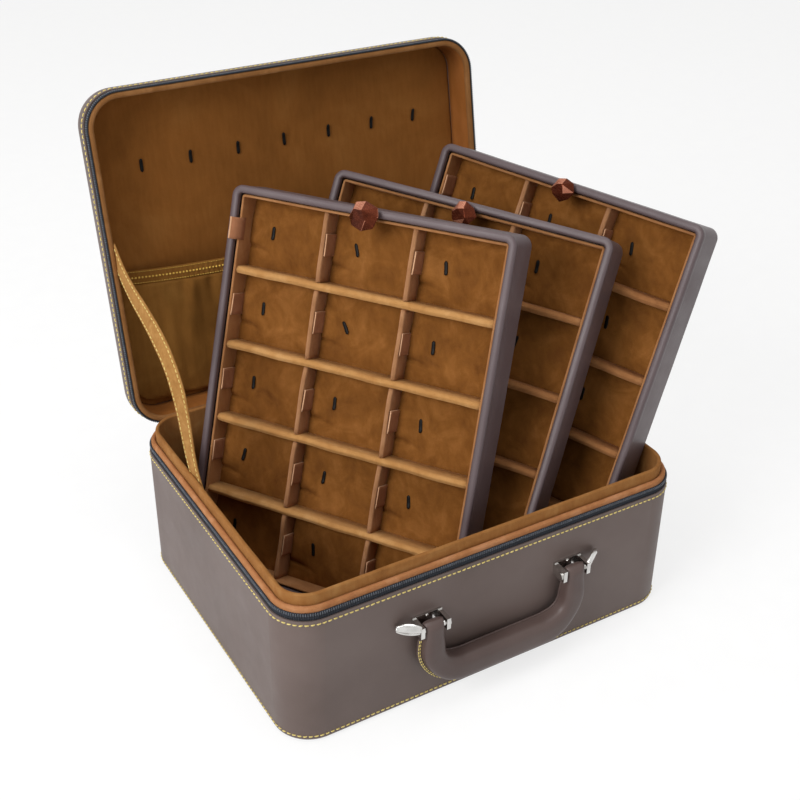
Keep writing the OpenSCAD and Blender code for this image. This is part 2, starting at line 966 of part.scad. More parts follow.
base_shell();
base_floor();
base_collar();
base_piping();
base_zip_tape();
base_zip_teeth();
base_stitch_upper();
base_stitch_lower();
hinge_strip();
slider_left();
slider_right();
pull_left();
pull_right();
lid_shell();
lid_wall_lining();
lid_panel();
lid_piping();
lid_zip_tape();
lid_zip_teeth();
lid_stitching();
lid_hooks();
lid_pocket();
pocket_band();
stay_strap();
handle_grip();
handle_stitching();
bracket_left();
bracket_right();
pin_left();
pin_right();
bracket_screws();
tray_frame(0);  // tray_1_frame
tray_lining(0);  // tray_1_lining
tray_floor(0);  // tray_1_floor
tray_rows(0);  // tray_1_rows
tray_columns(0);  // tray_1_columns
tray_hooks(0);  // tray_1_hooks
tray_tabs(0);  // tray_1_tabs
tray_ribbon(0);  // tray_1_ribbon
tray_frame(1);  // tray_2_frame
tray_lining(1);  // tray_2_lining
tray_floor(1);  // tray_2_floor
tray_rows(1);  // tray_2_rows
tray_columns(1);  // tray_2_columns
tray_hooks(1);  // tray_2_hooks
tray_tabs(1);  // tray_2_tabs
tray_ribbon(1);  // tray_2_ribbon
tray_frame(2);  // tray_3_frame
tray_lining(2);  // tray_3_lining
tray_floor(2);  // tray_3_floor
tray_rows(2);  // tray_3_rows
tray_columns(2);  // tray_3_columns
tray_hooks(2);  // tray_3_hooks
tray_tabs(2);  // tray_3_tabs
tray_ribbon(2);  // tray_3_ribbon
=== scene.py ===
"""The looks of a jewelry display case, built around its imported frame.

Lengths are in metres in the frame's own axes: the front faces -Y and +Z is up. Soft pieces of the
lid are shaped as if it were closed and then opened; those of a tray are shaped lying flat and then
carried to where the tray leans.
"""

import math

import bmesh
import bpy
import numpy as np
from mathutils import Matrix, Vector


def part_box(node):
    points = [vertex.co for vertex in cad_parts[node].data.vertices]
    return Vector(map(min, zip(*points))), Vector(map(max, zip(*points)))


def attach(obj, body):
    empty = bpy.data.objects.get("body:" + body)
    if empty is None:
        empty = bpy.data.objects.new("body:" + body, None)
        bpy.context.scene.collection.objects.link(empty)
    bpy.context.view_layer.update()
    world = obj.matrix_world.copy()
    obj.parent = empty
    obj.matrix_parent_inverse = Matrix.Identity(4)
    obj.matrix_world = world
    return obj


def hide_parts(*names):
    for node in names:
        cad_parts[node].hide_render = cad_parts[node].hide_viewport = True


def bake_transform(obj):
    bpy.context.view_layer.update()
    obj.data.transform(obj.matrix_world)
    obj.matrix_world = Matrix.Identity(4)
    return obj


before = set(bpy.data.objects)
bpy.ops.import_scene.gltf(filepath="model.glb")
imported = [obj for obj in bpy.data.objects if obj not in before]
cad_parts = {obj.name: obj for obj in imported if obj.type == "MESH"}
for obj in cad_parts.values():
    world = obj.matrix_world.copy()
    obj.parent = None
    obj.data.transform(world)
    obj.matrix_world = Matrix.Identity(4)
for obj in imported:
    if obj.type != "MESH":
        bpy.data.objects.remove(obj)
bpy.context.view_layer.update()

MM = 0.001
SEED = 7

# Sizes read from the frame
shell_lo, shell_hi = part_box("base_shell")
CASE_W = shell_hi.x - shell_lo.x
CASE_D = shell_hi.y - shell_lo.y
LEATHER_H = shell_hi.z
collar_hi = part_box("base_collar")[1]
COLLAR_TOP = collar_hi.z
INNER_INSET = shell_hi.x - collar_hi.x + 3.5 * MM
FLOOR_UNDER, FLOOR_Z = (corner.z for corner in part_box("base_floor"))
MEET_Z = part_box("base_zip_tape")[1].z

# Sizes that the frame's boxes don't give
CORNER_R = 32 * MM
WALL = 6.5 * MM
COLLAR_T = 3.5 * MM
PIPING_W = 4.3 * MM
PIPING_INSET = 2.1 * MM
ZIP_H = 7 * MM
TAPE_INSET = 1.2 * MM
TEETH_PITCH = 1.9 * MM
TEETH_OFF = 1.4 * MM
HINGE_W = 244 * MM
ZIP_GAP = HINGE_W + 6 * MM
UPPER_STITCH_Z = LEATHER_H - 3.5 * MM
LOWER_STITCH_Z = 5.5 * MM
STITCH_PITCH = 4.6 * MM
STITCH_L = 3.8 * MM
STITCH_R = 0.62 * MM
SEAT = 0.3 * MM

LID_OPEN = math.radians(100.3)
HINGE_Y = CASE_D / 2 + 0.5 * MM
HINGE_Z = MEET_Z
PANEL_Z = MEET_Z + 31 * MM
LID_TOP = MEET_Z + 40 * MM
LID_EDGE_R = 22 * MM
LINING_INSET = 6 * MM
PANEL_INSET = 8.4 * MM
HOOK_ROW_Y = -79 * MM
HOOK_PITCH = 46 * MM
HOOK_COUNT = 7
POCKET_Y = 16 * MM
BAND_H = 13 * MM

TRAY_W = 268 * MM
TRAY_L = 348 * MM
TRAY_D = 37 * MM
TRAY_R = 10 * MM
TRAY_BACK = 3 * MM
TRAY_WALL = 4 * MM
WALL_INSET = 0.6 * MM
RIM_W = 6.8 * MM
INSERT_GAP = 0.8 * MM
INSERT_T = 2.4 * MM
INSERT_DROP = 5 * MM
CELL_D = 20 * MM
ROW_T = 7.5 * MM
COL_T = 5 * MM
PUFF = 3.6 * MM
GROOVE = 2.8 * MM
TAB_L = 19 * MM
TAB_AT = 0.47
TAB_ROWS = 9
TAB_POINTS = 7
HOOK_L = 12 * MM
HOOK_W = 3 * MM
HOOK_TILTS = (1, 4, 5, -6, 4, 21, 33, 3, -2, 13, 10, 5, 8, 10, 6)
COLS = 3
ROWS = 5
TRAY_TURN = (-59.7, -58.8, -68.0)
TRAY_LEAN = (21.3, 28.3, 23.2)
TRAY_ROLL = (2.2, -2.3, -2.6)
TRAY_X = (-76.8, 24.1, 127.1)
TRAY_Y = (165.4, 165.0, 147.6)

EDGE = RIM_W + INSERT_GAP + INSERT_T
CLEAR_W = TRAY_W - 2 * EDGE
CLEAR_L = TRAY_L - 2 * EDGE
CELL_W = (CLEAR_W + COL_T) / COLS - COL_T
CELL_L = (CLEAR_L + ROW_T) / ROWS - ROW_T
CELL_FLOOR = -INSERT_DROP - CELL_D
BOARD_TOP = -TRAY_D + TRAY_BACK + SEAT
TRAY_MIDDLE = (TRAY_W / 2, -TRAY_L / 2)
ROW_TOP = -INSERT_DROP - 0.4 * MM
COL_TOP = ROW_TOP - 0.6 * MM

CASE = (CASE_W, CASE_D, CORNER_R)


# Materials
class Look:
    """A procedural material with a few helpers to chain its nodes."""

    def __init__(self, name):
        self.mat = bpy.data.materials.new(name)
        self.mat.use_nodes = True
        self.tree = self.mat.node_tree
        self.place = self.node("TexCoord").outputs["Object"]

    def plug(self, value, socket):
        """Links another node's socket, or sets a number, a vector or a colour written as rrggbb."""
        if isinstance(value, bpy.types.NodeSocket):
            self.tree.links.new(value, socket)
        else:
            socket.default_value = linear(value) if isinstance(value, str) else value

    def fill(self, node, values):
        for key, value in values.items():
            socket = node.inputs.get(key.replace("_", " "))
            if socket is None:
                setattr(node, key, value)
            else:
                self.plug(value, socket)
        return node

    def node(self, kind, **values):
        return self.fill(self.tree.nodes.new("ShaderNode" + kind), values)

    def noise(self, scale, detail=3.0, rough=0.55, stretch=None, distortion=0.0):
        size = {"Scale": scale, "Detail": detail, "Roughness": rough, "Distortion": distortion}
        place = self.place
        if stretch:
            place = self.node("Mapping", Vector=place, Scale=stretch).outputs["Vector"]
        return self.node("TexNoise", Vector=place, **size).outputs["Fac"]

    def bands(self, scale, distortion, direction):
        size = {"Scale": scale, "Distortion": distortion, "bands_direction": direction}
        return self.node("TexWave", Vector=self.place, **size).outputs["Fac"]

    def ramp(self, source, *stops):
        n = self.node("ValToRGB", Fac=source)
        marks = n.color_ramp.elements
        while len(marks) < len(stops):
            marks.new(0.5)
        for mark, (at, colour) in zip(marks, stops):
            mark.position = at
            mark.color = linear(colour) if isinstance(colour, str) else (colour, colour, colour, 1)
        return n.outputs["Color"]

    def mix(self, factor, a, b):
        n = self.node("Mix", data_type="RGBA")
        for value, socket in ((factor, n.inputs[0]), (a, n.inputs[6]), (b, n.inputs[7])):
            self.plug(value, socket)
        return n.outputs[2]

    def bump(self, height, distance, strength, under=None):
        n = self.node("Bump", Height=height, Distance=distance, Strength=strength)
        if under is not None:
            self.plug(under, n.inputs["Normal"])
        return n.outputs["Normal"]

    def surface(self, **values):
        """Sets the material's shader, and gives the finished material."""
        self.fill(self.tree.nodes["Principled BSDF"], values)
        return self.mat


def linear(text):
    """A colour written as rrggbb, as a linear RGBA value."""
    rgb = [int(text[k : k + 2], 16) / 255 for k in (0, 2, 4)]
    return tuple(c / 12.92 if c <= 0.04045 else ((c + 0.055) / 1.055) ** 2.4 for c in rgb) + (1.0,)


def leather_look(name, dark, mid, light, gloss=0.47):
    """Fine pebbled grain with pores, over slow patches of colour."""
    k = Look(name)
    colour = k.ramp(k.noise(9, detail=4), (0.3, dark), (0.52, mid), (0.75, light))
    speck = k.noise(2600, detail=2)
    colour = k.mix(0.16, colour, k.ramp(speck, (0.35, dark), (0.65, light)))
    pebble = k.node("TexVoronoi", Vector=k.place, Scale=1150.0, feature="SMOOTH_F1").outputs["Distance"]
    normal = k.bump(pebble, 0.00013, 0.55)
    normal = k.bump(k.noise(3000, detail=3), 0.00006, 0.5, under=normal)
    normal = k.bump(k.noise(60, detail=2), 0.0006, 0.25, under=normal)
    rough = k.ramp(k.noise(35, detail=3), (0.25, gloss - 0.05), (0.8, gloss + 0.09))
    return k.surface(Base_Color=colour, Roughness=rough, Normal=normal, Specular_IOR_Level=0.42)


def velvet_look(name, deep, mid, pale, brushed=1.0, sheen=0.25):
    """Short pile: broad brushed patches, fine streaks and a grain of single tufts."""
    k = Look(name)
    broad = k.noise(16 * brushed, detail=5, rough=0.62, distortion=0.6)
    streak = k.noise(300, detail=3, stretch=(1.0, 0.35, 0.16))
    tuft = k.noise(2300, detail=2, rough=0.7)
    colour = k.ramp(broad, (0.26, deep), (0.5, mid), (0.76, pale))
    colour = k.mix(0.2, colour, k.ramp(streak, (0.3, deep), (0.7, pale)))
    colour = k.mix(0.22, colour, k.ramp(tuft, (0.3, deep), (0.72, pale)))
    normal = k.bump(broad, 0.0016, 0.35, under=k.bump(tuft, 0.00035, 0.6))
    k.surface(Base_Color=colour, Roughness=0.92, Specular_IOR_Level=0.12, Normal=normal)
    return k.surface(Sheen_Weight=sheen, Sheen_Roughness=0.42, Sheen_Tint=pale)


def thread_look(name, deep, pale):
    k = Look(name)
    twist = k.bands(420.0, 1.5, "DIAGONAL")
    strand = k.ramp(k.noise(500), (0.3, deep), (0.7, pale))
    colour = k.mix(0.5, k.ramp(twist, (0.2, deep), (0.8, pale)), strand)
    normal = k.bump(twist, 0.0002, 0.6)
    return k.surface(Base_Color=colour, Roughness=0.6, Normal=normal, Specular_IOR_Level=0.35)


def tape_look(name, dark, light):
    k = Look(name)
    weave = k.bands(520.0, 0.4, "Z")
    fuzz = k.ramp(k.noise(750, detail=4), (0.3, dark), (0.75, light))
    colour = k.mix(0.5, k.ramp(weave, (0.2, dark), (0.9, light)), fuzz)
    normal = k.bump(weave, 0.00025, 0.5)
    return k.surface(Base_Color=colour, Roughness=0.78, Normal=normal, Specular_IOR_Level=0.3)


def plastic_look(name, grain, dark, light, rough, level, bump):
    """Hard plastic, worn between a dark and a light stop and between two values of roughness."""
    k = Look(name)
    wear = k.noise(grain, detail=3)
    colour, normal = k.ramp(wear, (0.3, dark), light), k.bump(wear, *bump)
    rough = k.ramp(wear, (0.3, rough[0]), (0.8, rough[1]))
    return k.surface(Base_Color=colour, Roughness=rough, Specular_IOR_Level=level, Normal=normal)


def chrome_look(name):
    k = Look(name)
    smear = k.noise(160, detail=4)
    scratch = k.noise(900, detail=2, stretch=(0.2, 1.0, 2.6))
    colour = k.ramp(smear, (0.3, "c3c1be"), (0.7, "dcdad7"))
    rough = k.ramp(smear, (0.25, 0.10), (0.8, 0.2))
    return k.surface(Base_Color=colour, Metallic=1.0, Roughness=rough, Normal=k.bump(scratch, 0.00003, 0.35))


def satin_look(name, deep, mid, pale):
    k = Look(name)
    weave = k.noise(1500, detail=2, stretch=(1.0, 0.12, 1.0))
    broad = k.ramp(k.noise(120, detail=2), (0.3, deep), (0.7, mid))
    colour = k.mix(0.2, broad, k.ramp(weave, (0.3, mid), (0.7, pale)))
    rough = k.ramp(weave, (0.3, 0.2), (0.7, 0.32))
    k.surface(Metallic=0.35, Specular_Tint=pale)
    return k.surface(Base_Color=colour, Roughness=rough, Normal=k.bump(weave, 0.00003, 0.4))


LEATHER = leather_look("leather_brown", "54453f", "62534e", "6e605b")
LEATHER_GRIP = leather_look("leather_grip", "463733", "52423e", "5e4e49", gloss=0.42)
LEATHER_TRAY = leather_look("leather_tray", "4b3d3f", "584a4c", "685b5c", gloss=0.44)
VELVET = velvet_look("velvet_cognac", "724216", "8a5423", "a06434")
VELVET_CELL = velvet_look("velvet_cell", "56300e", "784a1b", "9a6633", brushed=2.6)
VELVET_DEEP = velvet_look("velvet_deep", "6d4117", "845121", "986632", brushed=0.8)
VELVET_BAND = velvet_look("velvet_band", "6f4724", "84582f", "9c7046", brushed=2.5, sheen=0.3)
VELVET_COLLAR = velvet_look("velvet_collar", "784a22", "915f30", "ab7f4d", brushed=2.0, sheen=0.4)
VELVET_STRAP = velvet_look("velvet_strap", "84582a", "9c6f3a", "b88d55", brushed=9.0, sheen=0.3)
VELVET_TAN = velvet_look("velvet_tan", "9a6836", "b2814a", "cb9e69", brushed=2.5, sheen=0.35)
# A darker copy of the tan row velvet: painted shade on the rows of trays 2 and 3
VELVET_ROW_PAINTED_SHADE = velvet_look("velvet_row_painted_shade", "7c4f2d", "94643b", "ab7a50", brushed=2.5, sheen=0.3)
VELVET_GREY = velvet_look("velvet_divider", "8a5d3d", "a5764f", "bd8f6b", brushed=2.5, sheen=0.45)
VELVET_EDGE = velvet_look("velvet_edge", "875834", "a06e44", "b5855b", brushed=2.0, sheen=0.3)
VELVET_TAB = velvet_look("velvet_tab", "7f5234", "976346", "b07f5f", brushed=2.5, sheen=0.3)
# The pale velvet is a painted highlight along the tabs' upper edges
VELVET_PAINTED_HIGHLIGHT = velvet_look("velvet_painted_highlight", "b88a66", "cb9f7c", "dcb593", brushed=2.5, sheen=0.35)
VELVET_PIPING = velvet_look("velvet_piping", "8d5833", "a56e42", "c08c66", brushed=3.5, sheen=0.3)
POCKET_VELVET = velvet_look("velvet_pocket", "684117", "7f5322", "986c34", brushed=1.2, sheen=0.3)
THREAD = thread_look("thread_yellow", "bda653", "ecd990")
THREAD_GOLD = thread_look("thread_gold", "c6982e", "efcb66")
TAPE = tape_look("zip_tape_black", "090a0d", "383d46")
TEETH = plastic_look("zip_teeth", 700, "1b1e23", (0.75, "646a75"), (0.32, 0.5), 0.5, (0.00008, 0.4))
CHROME = chrome_look("chrome")
HOOK_BLACK = plastic_look("hook_black", 900, "040303", (0.8, "14110e"), (0.4, 0.6), 0.12, (0.0001, 0.5))
SATIN = satin_look("satin_copper", "2c110b", "552719", "8d4c35")
# The lighter satin is a painted highlight, given to the ribbon's facets that face the light
SATIN_PAINTED_HIGHLIGHT = satin_look("satin_painted_highlight", "8f503b", "bb7a60", "dfab90")


# Mesh helpers
def mesh_object(name, verts, faces, mat, smooth=True):
    data = bpy.data.meshes.new(name)
    data.from_pydata([tuple(v) for v in verts], [], [tuple(f) for f in faces])
    data.validate()
    data.update()
    if smooth:
        data.polygons.foreach_set("use_smooth", [True] * len(data.polygons))
    obj = bpy.data.objects.new(name, data)
    obj.data.materials.append(mat)
    bpy.context.scene.collection.objects.link(obj)
    return obj


def opened(points):
    """Points of the closed lid, where the open lid carries them."""
    p = np.array(points, float)
    c, s = math.cos(LID_OPEN), math.sin(LID_OPEN)
    y, z = p[..., 1] - HINGE_Y, p[..., 2] - HINGE_Z
    p[..., 1] = HINGE_Y + y * c + z * s
    p[..., 2] = HINGE_Z - y * s + z * c
    return p


def as_is(points):
    return points


def tray_matrix(i):
    """From a tray lying flat, its top left front corner at the origin, to where it leans."""
    lean, roll = math.radians(TRAY_LEAN[i]), math.radians(TRAY_ROLL[i])
    across = math.sin(roll) * math.cos(lean)
    along = math.cos(roll) * math.cos(lean)
    low_x = TRAY_R if across > 0 else TRAY_W - TRAY_R
    height = (
        FLOOR_Z
        + SEAT
        + (TRAY_L - TRAY_R) * along
        + TRAY_R * math.hypot(across, along)
        + TRAY_D * math.sin(lean)
        - low_x * across
    )
    place = Matrix.Translation((TRAY_X[i] * MM, TRAY_Y[i] * MM, height))
    turn = Matrix.Rotation(math.radians(TRAY_TURN[i]), 4, "Z")
    tip = Matrix.Rotation(math.pi / 2 - lean, 4, "X")
    return np.array(place @ turn @ tip @ Matrix.Rotation(roll, 4, "Z"))


def tray_carrier(i):
    m = tray_matrix(i)
    return lambda points: np.array(points, float) @ m[:3, :3].T + m[:3, 3]


def ring_parts(w, d, r):
    """Lengths of the sides and corners of a rounded rectangle, by turns from the back's middle."""
    side, end, corner = w / 2 - r, d - 2 * r, math.pi * r / 2
    return [side, corner, end, corner, 2 * side, corner, end, corner, side]


def ring_at(s, w, d, r):
    """Points and outward normals at run lengths s round a rounded rectangle, from the back's middle."""
    x, y = w / 2 - r, d / 2 - r
    parts = ring_parts(w, d, r)
    starts = np.cumsum([0, *parts[:-1]])
    s = np.mod(s, sum(parts))
    part = np.searchsorted(starts, s, side="right") - 1
    straight, rest = part % 2 == 0, s - starts[part]
    turned = (part // 2) * math.pi / 2 + np.where(straight, 0, rest / r)
    normal = np.stack([np.sin(turned), np.cos(turned)], 1)
    along = np.stack([normal[:, 1], -normal[:, 0]], 1)
    centres = np.array([(0, y), (x, y), (x, y), (x, -y), (x, -y), (-x, -y), (-x, -y), (-x, y), (-x, y)])
    return centres[part] + r * normal + along * (straight * rest)[:, None], normal


def corner_steps(w, d, r, straight, turn):
    """Run lengths round a rounded rectangle, close together in its corners."""
    out, start = [], 0.0
    for k, length in enumerate(ring_parts(w, d, r)):
        n = max(2, round(length / (turn if k % 2 else straight)))
        out += list(start + np.arange(n) * length / n)
        start += length
    return np.array(out)


def unit(vectors):
    return vectors / np.linalg.norm(vectors, axis=1)[:, None]


def run_along(points):
    """The length run at each point of a path."""
    return np.concatenate([[0], np.cumsum(np.linalg.norm(np.diff(points, axis=0), axis=1))])


def read_off(at, run, values):
    """Values with several columns, read off at some run lengths."""
    return np.stack([np.interp(at, run, column) for column in values.T], 1)


def tube_faces(rings, sides, closed=False):
    """Faces of a tube made of rings of points: closed on itself, or with a cap at each end."""
    faces = []
    for i in range(rings if closed else rings - 1):
        here, ahead = i * sides, (i + 1) % rings * sides
        for m in range(sides):
            o = (m + 1) % sides
            faces.append((here + m, here + o, ahead + o, ahead + m))
    if closed:
        return faces
    last = (rings - 1) * sides
    return faces + [tuple(range(sides - 1, -1, -1)), tuple(range(last, last + sides))]


def flipped(faces):
    return [face[::-1] for face in faces]


def sheet_faces(rows, cols):
    """Faces of a closed sheet: two layers of grid points, one after the other, and the edge between them."""
    layer, faces = rows * cols, []
    for j in range(rows - 1):
        for i in range(cols - 1):
            a, b = j * cols + i, (j + 1) * cols + i
            faces += [(a, a + 1, b + 1, b), (layer + b, layer + b + 1, layer + a + 1, layer + a)]
    grid = np.arange(layer).reshape(rows, cols)
    edge = [*grid[0], *grid[1:, -1], *grid[-1, -2::-1], *grid[-2:0:-1, 0]]
    return faces + [(b, a, layer + a, layer + b) for a, b in zip(edge, edge[1:] + edge[:1])]


def shell_grid(name, front, back, mat):
    """A closed sheet from two grids of points of the same size."""
    verts = np.concatenate([front.reshape(-1, 3), back.reshape(-1, 3)])
    return mesh_object(name, verts, sheet_faces(*front.shape[:2]), mat)


def slab(outline, low, high):
    """Vertices and faces of a flat plate over a clockwise outline."""
    n = len(outline)
    verts = [(x, y, z) for z in (low, high) for x, y in outline]
    sides = [(k, n + k, n + (k + 1) % n, (k + 1) % n) for k in range(n)]
    return verts, [tuple(range(n)), tuple(range(2 * n - 1, n - 1, -1))] + sides


def gather(parts):
    """One list of vertices and one of faces from several pairs."""
    verts, faces = [], []
    for v, f in parts:
        start = len(verts)
        verts += list(v)
        faces += [tuple(start + k for k in face) for face in f]
    return verts, faces


def carried(parts, carry):
    verts, faces = gather(parts)
    return carry(verts), faces


def sweep(name, steps, size, section, mat, carry=as_is, closed=True, centre=(0.0, 0.0), wobble=None):
    """A closed section of (inset, height) points, swept round a rounded rectangle."""
    point, normal = ring_at(steps, *size)
    section = np.array(section, float)
    grid = np.zeros((len(steps), len(section), 3))
    grid[:, :, :2] = point[:, None, :] - normal[:, None, :] * section[None, :, :1]
    grid[:, :, :2] += np.array(centre)
    grid[:, :, 2] = section[None, :, 1]
    if wobble is not None:
        grid[:, :, :2] += normal[:, None, :] * wobble(steps)[:, None, None]
    faces = flipped(tube_faces(len(steps), len(section), closed))
    return mesh_object(name, carry(grid.reshape(-1, 3)), faces, mat)


def arc(x, z, r, first, last, n=5):
    """Points of an arc in a section, from one angle to another in degrees."""
    return [(x + r * math.cos(a), z + r * math.sin(a)) for a in np.radians(np.linspace(first, last, n))]


def rounded_bar(x0, z0, x1, z1, r, n=5):
    """The outline of a bar with rounded corners, as (inset, height) points."""
    corners = ((x1 - r, z1 - r, 90), (x1 - r, z0 + r, 0), (x0 + r, z0 + r, -90), (x0 + r, z1 - r, 180))
    return [point for x, z, first in corners for point in arc(x, z, r, first, first - 90, n + 1)]


def waves(seed, size, *lengths):
    """A gentle unevenness along a run, made of a few seeded sine waves."""
    rng = np.random.default_rng(SEED + seed)
    phase = rng.uniform(0, 2 * math.pi, len(lengths))
    share = size / len(lengths)
    return lambda s: share * sum(np.sin(2 * math.pi * s / t + p) for t, p in zip(lengths, phase))


# A bead lying along its first axis, whose ends dip into what it is sewn on
BEAD_RINGS = 7
BEAD_SIDES = 6


def bead_template(pinch, dip):
    t = np.linspace(-1, 1, BEAD_RINGS)
    radius = np.maximum(1 - np.abs(t) ** pinch, 0.0) ** 0.5
    radius[[0, -1]] = 0.25
    sink = -dip * np.abs(t) ** 3
    turn = np.arange(BEAD_SIDES) * 2 * math.pi / BEAD_SIDES
    verts = np.zeros((BEAD_RINGS, BEAD_SIDES, 3))
    verts[:, :, 0] = t[:, None]
    verts[:, :, 1] = radius[:, None] * np.cos(turn)
    verts[:, :, 2] = radius[:, None] * np.sin(turn) + sink[:, None]
    return verts.reshape(-1, 3), tube_faces(BEAD_RINGS, BEAD_SIDES)


def beads(name, centre, along, out, length, radius, mat, slant=0.0, seed=0, jitter=0.05, pinch=4.0, dip=0.9):
    """Many small beads: one at each centre, lying along `along` and standing up along `out`."""
    rng = np.random.default_rng(SEED + seed)
    verts, faces = bead_template(pinch, dip)
    along = unit(along)
    out = unit(out - along * np.sum(along * out, 1)[:, None])
    side = np.cross(out, along)
    tilt = slant + rng.normal(0, jitter, len(centre))
    lie = along * np.cos(tilt)[:, None] + side * np.sin(tilt)[:, None]
    side = np.cross(out, lie)
    half = length / 2 * (1 + rng.normal(0, jitter / 2, len(centre)))
    all_verts = (
        centre[:, None]
        + lie[:, None] * (verts[None, :, :1] * half[:, None, None])
        + side[:, None] * (verts[None, :, 1:2] * radius)
        + out[:, None] * (verts[None, :, 2:3] * radius)
    )
    k = len(verts)
    all_faces = [tuple(i * k + v for v in f) for i in range(len(centre)) for f in faces]
    return mesh_object(name, all_verts.reshape(-1, 3), all_faces, mat)


def ring_beads(name, z, pitch, length, radius, mat, carry=as_is, gap=0.0, proud=0.0, upright=False, **more):
    """A row of stitches or teeth round the case, at height z."""
    run = sum(ring_parts(*CASE)) - gap
    n = round(run / pitch)
    s = gap / 2 + (np.arange(n) + 0.5) * run / n
    point, normal = ring_at(s, *CASE)
    centre = np.concatenate([point + normal * proud, np.full((n, 1), z)], 1)
    out = np.concatenate([normal, np.zeros((n, 1))], 1)
    along = np.stack([normal[:, 1], -normal[:, 0], np.zeros(n)], 1)
    if upright:
        along = np.tile([0.0, 0.0, 1.0], (n, 1))
    along, out = (carry(v) - carry(np.zeros_like(v)) for v in (along, out))
    return beads(name, carry(centre), along, out, length, radius, mat, **more)


def stitch_row(node, z, seed, **more):
    """The thick thread round the case, sewn in slightly slanted stitches."""
    more |= {"proud": 0.22 * MM, "slant": 0.1, "seed": seed}
    return ring_beads(node + "_thread", z, STITCH_PITCH, STITCH_L, STITCH_R, THREAD, **more)


def line_beads(name, path, out, pitch, length, radius, mat, **more):
    """A row of stitches along an open path of points, each with its own outward direction."""
    run = run_along(path)
    n = max(2, round(run[-1] / pitch))
    s = (np.arange(n) + 0.5) * run[-1] / n
    along = read_off(s + pitch / 4, run, path) - read_off(s - pitch / 4, run, path)
    return beads(name, read_off(s, run, path), along, read_off(s, run, out), length, radius, mat, **more)


def join(name, objs):
    """One object from several; it takes the given name, and the first one's place is kept."""
    bpy.ops.object.select_all(action="DESELECT")
    for o in objs:
        o.select_set(True)
    bpy.context.view_layer.objects.active = objs[0]
    bpy.ops.object.join()
    objs[0].name = name
    return objs[0]


def dress(node, mat, bevel, segments=2):
    """A CAD node that keeps its shape: a material and worn-in edges."""
    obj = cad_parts[node]
    obj.data.materials.clear()
    obj.data.materials.append(mat)
    weld = obj.modifiers.new("weld", "WELD")
    weld.merge_threshold = 0.00001
    edge = obj.modifiers.new("bevel", "BEVEL")
    edge.width = bevel
    edge.segments = segments
    edge.limit_method = "ANGLE"
    edge.angle_limit = math.radians(35)


def stand_for(obj, body, slot, *nodes):
    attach(obj, body)
    if nodes:
        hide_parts(*nodes)


STEPS = corner_steps(*CASE, 8 * MM, 1.6 * MM)


# Base
def build_base():
    dress("base_shell", LEATHER, 0.6 * MM)
    section = rounded_bar(WALL, FLOOR_UNDER, WALL + COLLAR_T, COLLAR_TOP, 1.6 * MM, 6)
    sway = waves(1, 0.25 * MM, 0.31, 0.13, 0.071)
    collar = sweep("collar_velvet", STEPS, CASE, section, VELVET_COLLAR, wobble=sway)
    stand_for(collar, "base", "velvet", "base_collar")
    section = rounded_bar(PIPING_INSET, LEATHER_H, PIPING_INSET + PIPING_W, MEET_Z + PIPING_W, 2.1 * MM, 7)
    sway = waves(2, 0.12 * MM, 0.21, 0.09, 0.043)
    piping = sweep("base_piping_roll", STEPS, CASE, section, VELVET_PIPING, wobble=sway)
    stand_for(piping, "base", "velvet_light", "base_piping")
    floor_pad()
    for node, z in (("base_stitch_upper", UPPER_STITCH_Z), ("base_stitch_lower", LOWER_STITCH_Z)):
        stand_for(stitch_row(node, z, seed=3), "base", "thread", node)
    zip_half("base", as_is, MEET_Z - ZIP_H, MEET_Z, MEET_Z - TEETH_OFF)
    hinge_leather()


def floor_pad():
    """The velvet board that the trays stand on: flat at its rim and a little lower inside."""
    inset = INNER_INSET + 0.1 * MM
    w, d, r = CASE_W - 2 * inset, CASE_D - 2 * inset, CORNER_R - inset
    point, _ = ring_at(corner_steps(w, d, r, 10 * MM, 4 * MM), w, d, r)
    rings = [(1.0, FLOOR_UNDER), (1.0, FLOOR_Z)] + [(f, FLOOR_Z - 0.3 * MM) for f in (0.9, 0.7, 0.45, 0.2)]
    verts = [(x * f, y * f, z) for f, z in rings for x, y in point]
    pad = mesh_object("base_floor_velvet", verts, tube_faces(len(rings), len(point)), VELVET_DEEP)
    stand_for(pad, "base", "velvet", "base_floor")


def zip_half(body, carry, low, high, teeth_z):
    """Ribbed woven tape and a row of coil teeth, on one half of the zip."""
    run = sum(ring_parts(*CASE)) - ZIP_GAP
    n = int(run / TEETH_PITCH * 4)
    s = ZIP_GAP / 2 + np.arange(n + 1) * run / n
    section = rounded_bar(TAPE_INSET, low, TAPE_INSET + 0.8 * MM, high, 0.2 * MM, 1)

    def ribs(t):
        return 0.32 * MM * np.sin(2 * math.pi * t / TEETH_PITCH)

    tape = sweep(f"{body}_zip_tape_ribbed", s, CASE, section, TAPE, carry, closed=False, wobble=ribs)
    stand_for(tape, body, "zip_tape", f"{body}_zip_tape")
    teeth = ring_beads(
        f"{body}_zip_teeth_coil", teeth_z, TEETH_PITCH, 2.7 * MM, 0.62 * MM, TEETH, carry=carry, gap=ZIP_GAP,
        proud=-0.72 * MM, upright=True, jitter=0.01, seed=5, dip=0.3, pinch=6.0,
    )
    stand_for(teeth, body, "zip_teeth", f"{body}_zip_teeth")


